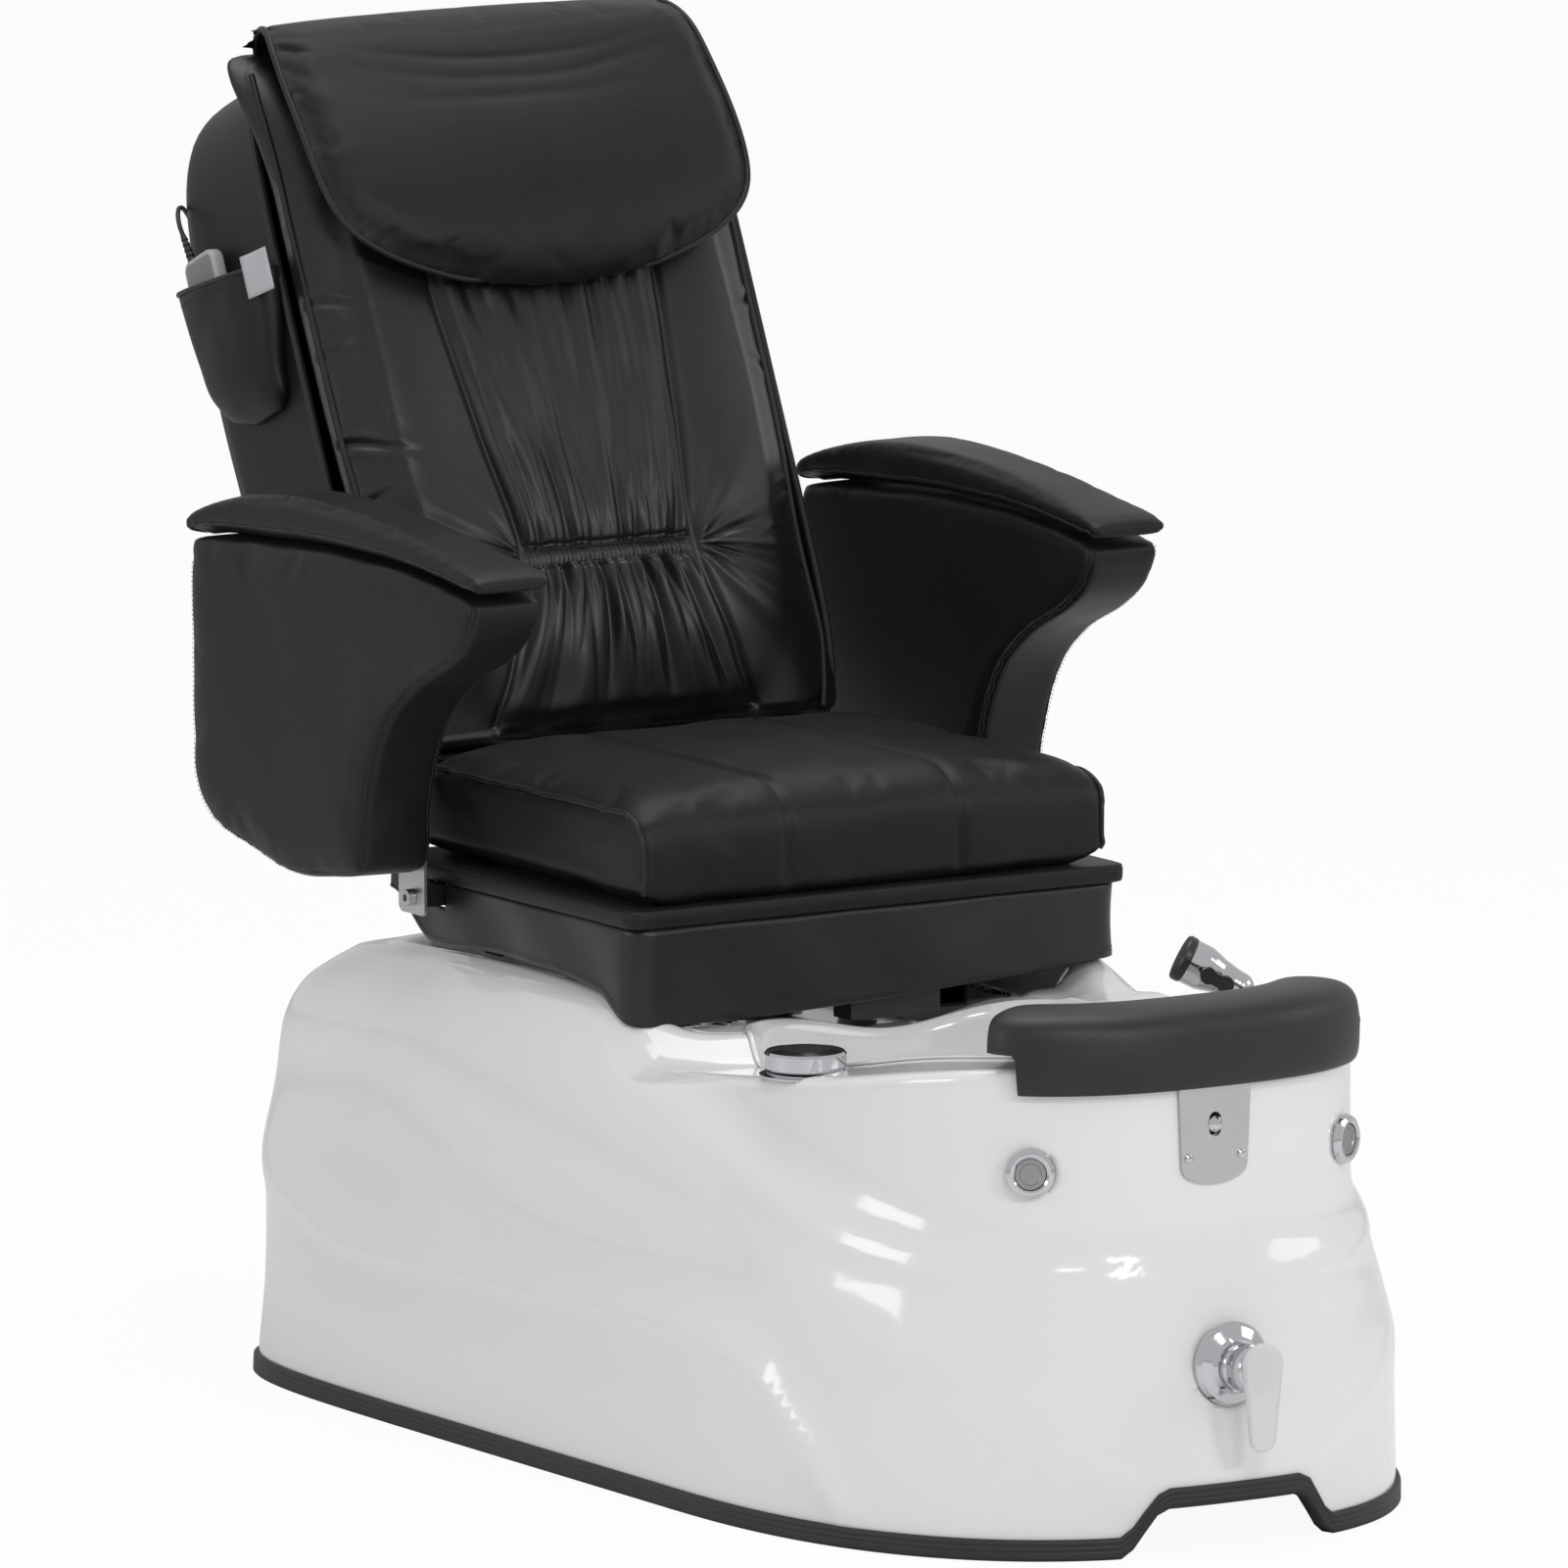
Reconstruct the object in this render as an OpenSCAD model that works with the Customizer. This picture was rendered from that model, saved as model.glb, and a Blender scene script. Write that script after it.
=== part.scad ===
// Pedicure spa chair: moulded foot-bath base, sliding massage seat, reclining back and lifting arms.
// Millimetres, +Z up, the chair faces -Y. Drawn with y = 0 behind the seat's front edge, then set in the frame.

/* [Base shell] */
// Half width of the base at the floor
base_half_w = 334; // [328:1:340]
// Widest station of the base to its toe
base_toe = 443; // [436:1:450]
// Widest station of the base to its heel
base_heel = 850; // [840:1:860]
// Half width of the rim
rim_half_w = 272; // [268:1:276]
// Thickness of the moulded wall
shell_wall = 6; // [5:0.5:7]
// Height of the rubber floor trim
trim_h = 28; // [24:1:32]
// Lift of the toe arch
arch_lift = 44; // [36:1:48]

/* [Foot basin] */
// Half width of the basin mouth
mouth_half_w = 192; // [186:1:196]
// Height of the basin floor
basin_floor_z = 188; // [184:1:196]

/* [Seat] */
// Half width of the seat board
board_half_w = 278; // [274:1:280]
// Top of the seat board
board_top_z = 534; // [532:1:538]
// Thickness of the seat board with its covering
board_t = 17; // [14:1:18]
// Thickness of the seat cushion
cushion_h = 99; // [92:1:102]
// Forward travel of the seat
seat_travel = 100; // [60:5:100]

/* [Backrest] */
// Lean of the back from the vertical, degrees
back_lean = 24.4; // [22:0.2:26]
// Half width of the back shell
back_half_w = 262; // [256:1:264]
// Half width of the back cushion
cover_half_w = 262; // [256:1:266]
// Recline from the upright position, degrees
recline = 32; // [10:1:32]

/* [Arms] */
// Outer face of an arm from the centre line
arm_outer_x = 388; // [380:1:392]
// Thickness of an arm
arm_w = 84; // [78:1:84]

/* [Controls] */
// Diameter of the rim knob's flange
knob_flange_d = 86; // [80:1:88]
// Diameter of an air button's bezel
bezel_d = 47; // [44:1:50]
// Travel of an air button
button_travel = 3; // [2:0.5:3]
// Diameter of the drain lever's escutcheon
escutcheon_d = 79; // [74:1:82]

/* [Hidden] */

frame_y = 54.9;              // the drawing's y = 0 in the chair's frame
shell_white = "white";
skin_black = [0.13, 0.13, 0.14];
steel = "silver";
dark_steel = "dimgray";
gap = 0.3;                  // air left between pieces of different bodies
fine = 48;                  // facets of a large round

module in_frame() translate([0, frame_y, 0]) children();

// ---- curves and skins ----
function mix(a, b, t) = a + (b - a) * t;
function clamp01(t) = min(1, max(0, t));
function ease(t) = let(c = clamp01(t)) c * c * (3 - 2 * c);
function bell(t) = exp(-t * t);
function slope(p, i) = i == 0 || i == len(p) - 1 ? 0
    : (p[i + 1][1] - p[i - 1][1]) / (p[i + 1][0] - p[i - 1][0]);
// Smooth line through [place, value] stations
function sheer(p, x) = x <= p[0][0] ? p[0][1] : x >= p[len(p) - 1][0] ? p[len(p) - 1][1]
    : let(i = max([for (k = [0:len(p) - 2]) if (p[k][0] <= x) k]),
          h = p[i + 1][0] - p[i][0], t = (x - p[i][0]) / h,
          a = slope(p, i) * h, b = slope(p, i + 1) * h)
      (2 * t ^ 3 - 3 * t ^ 2 + 1) * p[i][1] + (t ^ 3 - 2 * t ^ 2 + t) * a
      + (3 * t ^ 2 - 2 * t ^ 3) * p[i + 1][1] + (t ^ 3 - t ^ 2) * b;
// Point on a closed smooth curve through p, between p[i] and p[i + 1]
function on_curve(p, i, t) = let(n = len(p), a = p[(i + n - 1) % n], b = p[i % n],
    c = p[(i + 1) % n], d = p[(i + 2) % n])
    0.5 * (2 * b + (c - a) * t + (2 * a - 5 * b + 4 * c - d) * t ^ 2
    + (3 * b - a - 3 * c + d) * t ^ 3);
function loop_through(p, m) = [for (i = [0:len(p) - 1], k = [0:m - 1]) on_curve(p, i, k / m)];
// A rounded rectangle as a superellipse, half sizes a and b
function squircle(a, b, n, count) = [for (i = [0:count - 1]) let(t = 360 * (i + 0.5) / count)
    [a * sign(cos(t)) * pow(abs(cos(t)), 2 / n), b * sign(sin(t)) * pow(abs(sin(t)), 2 / n)]];
function wall_faces(rows, n, wrap) = [for (i = [0:rows - (wrap ? 1 : 2)], j = [0:n - 1])
    let(a = i * n + j, b = i * n + (j + 1) % n, c = ((i + 1) % rows) * n + j,
        d = ((i + 1) % rows) * n + (j + 1) % n) each [[a, b, d], [a, d, c]]];
function flat(list) = [for (row = list) each row];
function middle(loop) = let(n = len(loop)) [for (k = [0:2])
    [for (i = 0, s = 0; i <= n; s = s + (i < n ? loop[i][k] : 0), i = i + 1) s][n] / n];
// A solid skinned over loops, closed by a fan of triangles at each end
module skin(loops) {
    n = len(loops[0]);
    rows = len(loops);
    last = (rows - 1) * n;
    hub = rows * n;
    polyhedron(concat(flat(loops), [middle(loops[0]), middle(loops[rows - 1])]),
        concat(wall_faces(rows, n, false),
            [for (j = [0:n - 1]) [(j + 1) % n, j, hub]],
            [for (j = [0:n - 1]) [last + j, last + (j + 1) % n, hub + 1]]));
}
// A closed ring of sections: the last joins the first
module ring_skin(sections)
    polyhedron(flat(sections), wall_faces(len(sections), len(sections[0]), true));

// ---- base outline ----
mid_y = -330;                                            // widest station
foot_line = [base_half_w, base_toe, base_heel, 2.5, 9];  // half width, toe, heel, squareness
rim_line = [rim_half_w, 407, 740, 2.8, 6];
mouth_line = [mouth_half_w, 358, 186, 3.2, 3];
function reach(t, o) = let(b = sin(t) < 0 ? o[1] : o[2], n = sin(t) < 0 ? o[3] : o[4])
    pow(pow(abs(cos(t)) / o[0], n) + pow(abs(sin(t)) / b, n), -1 / n);
function at_angle(t, o) = let(r = reach(t, o)) [r * cos(t), mid_y + r * sin(t)];
function outward(t, o) = let(p = at_angle(t, o) - [0, mid_y], b = p.y < 0 ? o[1] : o[2],
    n = p.y < 0 ? o[3] : o[4],
    g = [sign(p.x) * pow(abs(p.x) / o[0], n - 1) / o[0], sign(p.y) * pow(abs(p.y) / b, n - 1) / b])
    g / norm(g);
walk = [for (i = [0:720]) at_angle(i / 2 - 90, foot_line)];
girth = [for (i = 0, s = 0; i <= 720; s = s + (i < 720 ? norm(walk[i + 1] - walk[i]) : 0),
    i = i + 1) [s, i / 2 - 90]];
stations = 60;
station_angles = [for (k = [0:stations - 1]) lookup(k / stations * girth[720][0], girth)];

// ---- base surface: heights by y along the side ----
rim_z = [[-740, 456], [-680, 450], [-600, 440], [-500, 424], [-390, 409], [-260, 396],
    [-200, 394], [-130, 438], [-50, 450], [130, 451], [300, 441], [410, 427]];
shoulder_z = [[-745, 258], [-655, 280], [-590, 297], [-387, 334], [-237, 366], [-98, 396],
    [45, 413], [254, 403], [341, 392], [520, 386]];
ridge_z = [[-570, 20], [-487, 79], [-389, 122], [-254, 141], [-85, 146], [130, 146],
    [292, 152], [416, 195], [520, 240]];
valley_z = [[-420, 213], [-196, 215], [-57, 232], [87, 269], [234, 307], [447, 305]];
lip_z = [[-773, 70], [-740, 112], [-656, 165]];
// Share of the way in from the floor outline to the rim outline, by height over the shoulder's
bowl_lean = [[0, 0], [0.25, 0.02], [0.5, 0.1], [0.75, 0.34], [0.9, 0.6], [1, 0.78], [1.07, 0.92],
    [1.16, 0.98], [2, 1]];
hump_lean = [[0, 0], [0.25, 0.1], [0.5, 0.14], [0.75, 0.22], [0.9, 0.36], [1, 0.56],
    [1.05, 0.74], [1.1, 0.92], [1.16, 1]];
heel_lean = [[0, 0], [0.25, 0.06], [0.5, 0.08], [0.75, 0.12], [0.9, 0.2], [1, 0.38],
    [1.05, 0.58], [1.1, 0.82], [1.16, 1]];
function bowl_share(y) = 1 - ease((y + 600) / 420);
function lean(y, q) = mix(mix(sheer(hump_lean, q), sheer(bowl_lean, q), bowl_share(y)),
    sheer(heel_lean, q), ease((y - 300) / 160));
function swell(y, z) = (1 - 0.75 * ease((y - 420) / 90))
    * (10 * bell((z - sheer(ridge_z, y)) / 42) * ease((y + 600) / 120)
    - 11 * bell((z - sheer(valley_z, y)) / 55) * ease((y + 520) / 160))
    + 6 * bell((z - sheer(lip_z, y)) / 34) * (1 - ease((y + 690) / 110));
function on_wall(t, z, push) = let(y = at_angle(t, foot_line).y,
    o = mix(foot_line, rim_line, lean(y, z / sheer(shoulder_z, y))),
    e = push + swell(y, z) * ease(z / 60)) concat(at_angle(t, o) + outward(t, o) * e, z);
function arch(t) = let(p = at_angle(t, foot_line)) p.y > mid_y ? 0
    : arch_lift * ease((118 - abs(p.x)) / 46);
function rim_height(t) = sheer(rim_z, at_angle(t, rim_line).y)
    + 28 * ease(at_angle(t, rim_line).x / 60) * bell((at_angle(t, rim_line).y + 232) / 78);

deck_z = 392;
ledge_t = 9;
rim_round = 9;
wall_steps = [0.06, 0.15, 0.24, 0.33, 0.42, 0.5, 0.58, 0.66, 0.74, 0.81, 0.87, 0.92, 0.96, 1];
inner_steps = [0.93, 0.84, 0.72, 0.55, 0.38, 0.2];
ledge_shares = [0.15, 0.35, 0.6, 0.85, 1];
deck_insets = [14, 34, 60, 120, 600];
function ledge_share(t, k) = min(ledge_shares[k],
    deck_insets[k] / norm(at_angle(t, rim_line) - at_angle(t, mouth_line)));
function ledge_z(t, share) = let(top = rim_height(t),
    inset = share * norm(at_angle(t, rim_line) - at_angle(t, mouth_line)),
    rear = ease((at_angle(t, rim_line).y + 230) / 90))
    top - rear * (top - deck_z) * ease((inset - 18) / 60) - (share == 1 ? 3 : 0);
function on_ledge(t, share, drop) =
    concat(mix(at_angle(t, rim_line), at_angle(t, mouth_line), share), ledge_z(t, share) - drop);
// The ledge is thicker where it climbs to the far console
function under_ledge(t) = let(p = at_angle(t, rim_line))
    ledge_t + 9 * ease(p.x / 60) * bell((p.y + 180) / 55);
function foot_of(t) = arch(t) + 3.2;
function shell_section(t) = let(foot = foot_of(t), top = rim_height(t) - rim_round) concat(
    [on_wall(t, foot, 0)],
    [for (f = wall_steps) on_wall(t, mix(foot, top, f), 0)],
    [concat(at_angle(t, rim_line) - outward(t, rim_line) * rim_round * 0.3, top + rim_round * 0.7)],
    [for (k = [0:4]) on_ledge(t, ledge_share(t, k), 0)],
    [for (k = [4:-1:1]) on_ledge(t, ledge_share(t, k), under_ledge(t))],
    [for (f = inner_steps) on_wall(t, mix(foot, top - ledge_t, f), -shell_wall)],
    [on_wall(t, foot, -shell_wall)]);

// ---- places of the controls ----
button_at = [172, -692, 355];
button_turn = 28;             // a button faces this far off the centre line
knob_at = [-238, -412, 412];
lever_at = [0, -768, 172];
bracket_y = -737.8;
socket_at = [232, -432, 418];
head_turn = 150;              // the shower head points across the basin and back towards the seat
head_rise = 27.6;             // its climb from the horizontal

module facing(at, turn) translate(at) rotate([0, 0, turn]) rotate([90, 0, 0]) children();

module base_shell() color(shell_white) in_frame() difference() {
    ring_skin([for (t = station_angles) shell_section(t)]);
    for (s = [-1, 1]) facing([s * button_at.x, button_at.y, button_at.z], s * button_turn) {
        translate([0, 0, -30]) cylinder(d = 32, h = 60, $fn = fine);
        translate([0, 0, 3]) cylinder(d = bezel_d + 1, h = 20, $fn = fine);
    }
    facing(lever_at, 0) translate([0, 0, -40]) cylinder(d = 18, h = 60, $fn = fine);
    facing(lever_at, 0) translate([0, 0, -2]) cylinder(d = escutcheon_d + 1, h = 20, $fn = fine);
    translate(knob_at - [0, 0, 30]) cylinder(d = 34, h = 40, $fn = fine);
    translate(knob_at) cylinder(d = knob_flange_d + 1, h = 20, $fn = fine);
    translate(socket_at - [0, 0, 30]) cylinder(d = 36, h = 40, $fn = fine);
    translate(socket_at) cylinder(d = 53, h = 20, $fn = fine);
}

// Rubber channel round the foot of the shell
trim_proud = 5;
trim_under = 10;
module floor_trim() color(skin_black) in_frame()
    ring_skin([for (t = station_angles) let(a = arch(t), z = foot_of(t),
        skin_at = function (h, e) on_wall(t, z + h, e))
        [concat(at_angle(t, foot_line) + outward(t, foot_line) * (trim_proud - 1.5), a),
         skin_at(0, trim_proud), skin_at(trim_h - 8, trim_proud), skin_at(trim_h - 4, 3.5),
         skin_at(trim_h - 4, 0.2), skin_at(trim_h / 2, 0.2), skin_at(-0.1, 0.2),
         skin_at(-0.1, -trim_under),
         concat(at_angle(t, foot_line) - outward(t, foot_line) * trim_under, a)]]);

// Basin: a lipped tub hung in the ledge's mouth, down to the waste hole
waste_at = [0, -430];
waste_d = 52;
basin_wall = 4;
lip_over = 2.4;              // how far the basin's lip laps the ledge
basin_stations = 40;
// inset from the mouth and share of the height, lip to floor
basin_line = [[5, 1], [9, 0.86], [14, 0.5], [24, 0.24], [40, 0.1], [66, 0.03]];
function to_waste(t, inset) = let(m = at_angle(t, mouth_line) - waste_at)
    waste_at + m * (1 - inset / norm(m));
function waste_edge(t, r) = let(m = at_angle(t, mouth_line) - waste_at) waste_at + m / norm(m) * r;
function lip_z_at(t) = ledge_z(t, 1) + 3;
function basin_z(t, share) = mix(basin_floor_z, lip_z_at(t) - 14, share);
function basin_section(t) = let(lip = lip_z_at(t)) concat(
    [concat(to_waste(t, -lip_over), lip + gap), concat(to_waste(t, -lip_over), lip + 3),
     concat(to_waste(t, 3), lip + 2.4)],
    [for (p = basin_line) concat(to_waste(t, p[0]), basin_z(t, p[1]))],
    [for (drop = [0, basin_wall]) each [
        concat(waste_edge(t, waste_d / 2 + (drop > 0 ? 0.5 : 40)), basin_floor_z - (drop > 0 ? 2 + drop : -1)),
        concat(waste_edge(t, waste_d / 2 + (drop > 0 ? 40 : 0.5)), basin_floor_z - (drop > 0 ? 3 : 2))]],
    [for (i = [5:-1:0]) let(p = basin_line[i]) concat(to_waste(t, p[0] - (i > 4 ? 1 : basin_wall)),
        basin_z(t, p[1]) - (i > 3 ? basin_wall : 0))],
    [concat(to_waste(t, 1), lip + gap)]);
module foot_basin() color(shell_white) in_frame()
    ring_skin([for (k = [0:basin_stations - 1])
        basin_section(station_angles[floor(k * stations / basin_stations)])]);

// ---- inside the base ----
tube = 30;
module bar(a, b) translate([min(a.x, b.x), min(a.y, b.y), min(a.z, b.z)])
    cube([max(tube, abs(a.x - b.x)), max(tube, abs(a.y - b.y)), max(tube, abs(a.z - b.z))]);
frame_x = 205;
frame_front_y = -110;
frame_rear_y = 360;
module base_frame() color(dark_steel) in_frame() {
    for (x = [-frame_x, frame_x - tube]) {
        translate([x, frame_front_y - 60, 22]) cube([tube, frame_rear_y - frame_front_y + 60, tube]);
        for (y = [frame_front_y, frame_rear_y - tube])
            translate([x, y, 22 + tube]) cube([tube, tube, deck_z - ledge_t - 23.5 - tube]);
    }
    for (y = [frame_front_y, frame_rear_y - tube])
        translate([-frame_x + tube, y, 22]) cube([2 * (frame_x - tube), tube, tube]);
}
module levelling_feet() color(skin_black) in_frame()
    for (x = [-1, 1], y = [frame_front_y - 30, frame_rear_y - 30])
        translate([x * (frame_x - tube / 2), y, 0]) {
            cylinder(d = 44, h = 8, $fn = fine);
            translate([0, 0, 8]) cylinder(d = 12, h = 14, $fn = 24);
        }
module jet_cover() color(steel) in_frame()
    translate([0, -162.4, 285]) rotate([82, 0, 0]) difference() {
        cylinder(d = 96, h = 12, $fn = fine);
        for (k = [0:7]) rotate(k * 45) translate([30, 0, -1]) cylinder(d = 9, h = 14, $fn = 24);
        translate([0, 0, -1]) cylinder(d = 22, h = 14, $fn = fine);
    }
module jet_motor() color(dark_steel) in_frame() translate([0, -30, 285]) rotate([90, 0, 0]) {
    cylinder(d = 88, h = 100, $fn = fine);
    translate([0, 0, -14]) cylinder(d = 60, h = 14, $fn = fine);
    translate([-35, -84, 20]) cube([70, 46, 60]);
    translate([-50, -233, 20]) cube([100, 149, 8]);
    translate([-50, -233, 72]) cube([100, 149, 8]);
}
module power_box() color("gray") in_frame() translate([-150, 150, 22 + tube]) {
    difference() {
        cube([120, 170, 70]);
        for (y = [40, 85, 130]) translate([-1, y, 35]) rotate([0, 90, 0])
            cylinder(d = 16, h = 8, $fn = 24);
    }
}

// ---- drain ----
module drain_strainer() color(steel) in_frame() translate(concat(waste_at, basin_floor_z - 2)) {
    difference() {
        union() {
            translate([0, 0, 0.7]) cylinder(d = 64, h = 2.4, $fn = fine);
            translate([0, 0, -8]) cylinder(d = waste_d - 1, h = 9, $fn = fine);
        }
        for (k = [0:5]) rotate(60 * k) translate([16, 0, -9]) cylinder(d = 7, h = 14, $fn = 24);
    }
}
valve_r = 32;
spigot_r = 20;
spigot_z = 62;                // open end of the waste spigot above the floor
stem_r = 6.5;
barrel_l = 130;               // reach of the valve's barrel towards the lever
module drain_valve() color("gray") in_frame() difference() {
    union() {
        translate(concat(waste_at, 130)) cylinder(r = valve_r, h = 51.6, $fn = fine);
        translate([0, waste_at.y, lever_at.z]) rotate([90, 0, 0]) cylinder(r = 9.5, h = barrel_l, $fn = fine);
        translate(concat(waste_at, spigot_z)) cylinder(r = spigot_r, h = 70, $fn = fine);
    }
    translate(concat(waste_at, spigot_z - 1)) cylinder(r = 16, h = 130, $fn = fine);
    translate(concat(waste_at, basin_floor_z - 10.2)) cylinder(r = 26, h = 10, $fn = fine);
    translate([0, waste_at.y - 50, lever_at.z]) rotate([90, 0, 0])
        cylinder(r = stem_r + 0.06, h = barrel_l, $fn = fine);
}
module drain_escutcheon() color(steel) in_frame() facing(lever_at, 0) rotate_extrude($fn = fine)
    polygon([[9.5, -1.7], [escutcheon_d / 2, -1.7], [escutcheon_d / 2, 2], [36, 6], [27, 10],
             [24, 14], [9.5, 14]]);
// Stem, knob and teardrop handle in one turning piece
module drain_lever() color(steel) in_frame() facing(lever_at, 0) {
    translate([0, 0, 14.4]) cylinder(d = 45, h = 34, $fn = fine);
    translate([0, 0, -215]) cylinder(r = stem_r, h = 230, $fn = 24);
    translate([0, 0, 48.4]) linear_extrude(9) hull() {
        translate([0, 6]) circle(d = 42, $fn = fine);
        translate([0, -32]) circle(d = 42, $fn = fine);
        translate([0, -58]) circle(d = 34, $fn = fine);
    }
}

// ---- footrest ----
module footrest_bracket() color(steel) in_frame() difference() {
    union() {
        translate([0, bracket_y, 0]) rotate([90, 0, 0]) linear_extrude(2.5)
            polygon(concat([[-41, 459.5], [-36, 352]],
                [for (a = [200:20:340]) [36 * cos(a), 352 + 16 * sin(a)]], [[36, 352], [41, 459.5]]));
        translate([-41, bracket_y - 2.5, 457]) cube([82, 38, 2.5]);
    }
    for (s = [-1, 1]) translate([29 * s, bracket_y + 1, 362]) rotate([90, 0, 0])
        cylinder(d = 5.2, h = 5, $fn = 24);
    hull() for (z = [-5, 5]) translate([0, bracket_y + 1, 392 + z]) rotate([90, 0, 0])
        cylinder(d = 13, h = 5, $fn = 24);
}
module bracket_fasteners() color(steel) in_frame() {
    for (s = [-1, 1]) translate([29 * s, bracket_y - 2.5, 362]) rotate([90, 0, 0])
        rotate_extrude($fn = 32) polygon([[0, 0], [4.5, 0], [4.2, 1.6], [2.5, 2.8], [0, 3]]);
    translate([0, bracket_y - 2.5, 392]) rotate([90, 0, 0])
        rotate_extrude($fn = 32) polygon([[0, 0], [7.6, 0], [7.4, 1], [5, 3.4], [0, 4.6]]);
}
// Pad saddling the front of the rim: outward reach and height round its section
pad_section = [[5.5, 428], [13, 430], [16, 446], [15, 470], [10, 490], [-4, 501], [-30, 505],
    [-58, 503], [-74, 494], [-80, 478], [-80, 461], [-40, 460.5], [-2, 460.5], [4.5, 460]];
pad_stations = 22;
pad_half_turn = 31;           // degrees round the toe from the centre line to each end
module footrest_pad() color(skin_black) in_frame()
    skin([for (i = [0:pad_stations]) let(s = sin(90 * (2 * i / pad_stations - 1)),
        t = -90 + pad_half_turn * s, o = outward(t, rim_line), mid = [-33, 478],
        end = 1 - 0.3 * pow(abs(s), 16), low = mix(428, 466, ease((abs(s) - 0.86) / 0.03)))
        [for (p = pad_section) let(e = mid + (p - mid) * end)
            concat(at_angle(t, rim_line) + o * e[0], max(e[1], low))]]);

// ---- air buttons ----
module at_button(s) facing([s * button_at.x, button_at.y, button_at.z], s * button_turn) children();
module button_bezels() color(steel) in_frame() for (s = [-1, 1]) at_button(s)
    rotate_extrude($fn = fine) polygon([[13, -26], [13, -16], [15.2, -14.5], [15.2, 9], [17, 10.5],
        [19, 10.5], [22, 8.5], [bezel_d / 2, 5], [bezel_d / 2, 3.3], [15.9, 3.3], [15.9, -26]]);
module button_bellows() color(skin_black) in_frame() for (s = [-1, 1]) at_button(s)
    translate([0, 0, -35.5]) {
        cylinder(d = 31, h = 9, $fn = fine);
        translate([0, 0, -9]) cylinder(d = 6, h = 9, $fn = 24);
    }
module plunger() {
    rotate_extrude($fn = fine) polygon([[0, -12], [10, -12], [10, -8], [14.9, -8], [14.9, 7.6],
        [13.9, 8.4], [10.5, 8.4], [9.6, 7.4], [0, 7.4]]);
}
module air_button_left() color(steel) in_frame() at_button(-1) plunger();
module air_button_right() color(steel) in_frame() at_button(1) plunger();

// ---- rim knob over the mixing valve ----
module knob_flange() color(steel) in_frame() translate(knob_at) rotate_extrude($fn = fine)
    polygon([[13, -26], [13, 6], [34, 6], [38, 4.5], [knob_flange_d / 2, 2], [knob_flange_d / 2, 0.2],
        [16.5, 0.2], [16.5, -26]]);
module rim_knob() color(steel) in_frame() translate(knob_at) {
    intersection() {
        translate([0, 0, 6.4]) cylinder(d = 77 / cos(15), h = 20, $fn = 12);
        translate([0, 0, 6.4]) rotate_extrude($fn = fine)
            polygon([[0, 0], [37, 0], [38.5, 1.5], [38.5, 14.5], [36.5, 17], [24, 19], [0, 19.6]]);
    }
    translate([0, 0, -40]) cylinder(r = 6, h = 47, $fn = 24);
}
module mixer_valve() color("goldenrod") in_frame() translate(knob_at) difference() {
    union() {
        translate([0, 0, -78]) cylinder(r = 15, h = 51, $fn = fine);
        for (x = [-26, 12]) translate([x, -8, -110]) cylinder(r = 8, h = 48, $fn = 24);
        translate([-26, -16, -78]) cube([46, 16, 16]);
    }
    translate([0, 0, -44]) cylinder(r = 6.4, h = 20, $fn = 24);
}

// ---- hand shower ----
module shower_socket() color(steel) in_frame() translate(socket_at) rotate_extrude($fn = fine)
    polygon([[12.4, -44], [12.4, 14], [17, 14], [19, 10], [26, 3], [26, 0.2], [17.6, 0.2], [17.6, -44]]);
head_l = 54;
module at_head() translate(socket_at + [0, 0, 38]) rotate([0, 90 - head_rise, head_turn]) children();
module hand_shower() color(steel) in_frame() {
    translate(socket_at - [0, 0, 60]) cylinder(r = 12, h = 98, $fn = fine);
    translate(socket_at + [0, 0, 14.6]) cylinder(r1 = 16, r2 = 13, h = 10, $fn = fine);
    at_head() {
        sphere(r = 14, $fn = fine);
        rotate_extrude($fn = fine) polygon([[0, -4], [13.4, -4], [14.5, 8], [17, 22], [20, 32],
            [21.5, 38], [21.5, head_l], [0, head_l]]);
        translate([0, 16, 26]) rotate([-90, 0, 0]) cylinder(r = 7, h = 9, $fn = 24);
    }
}
module spray_face() color(skin_black) in_frame() at_head() translate([0, 0, head_l + 0.2]) difference() {
    rotate_extrude($fn = fine) polygon([[0, 0], [22, 0], [22.6, 2], [22.6, 7], [21, 9], [0, 9]]);
    for (r = [7, 14], k = [0:r - 2]) rotate(360 * k / (r - 1)) translate([r, 0, 7])
        cylinder(d = 2.2, h = 4, $fn = 16);
}
module shower_toggle() color(skin_black) in_frame() at_head() translate([0, 25.4, 26])
    rotate([-90, 0, 0]) {
        cylinder(r = 6, h = 4, $fn = 32);
        translate([0, 0, 4]) linear_extrude(8) union() {
            translate([0, -9]) circle(r = 8, $fn = 32);
            translate([0, 9]) circle(r = 8, $fn = 32);
            translate([-6, -9]) square([12, 18]);
        }
    }

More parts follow.
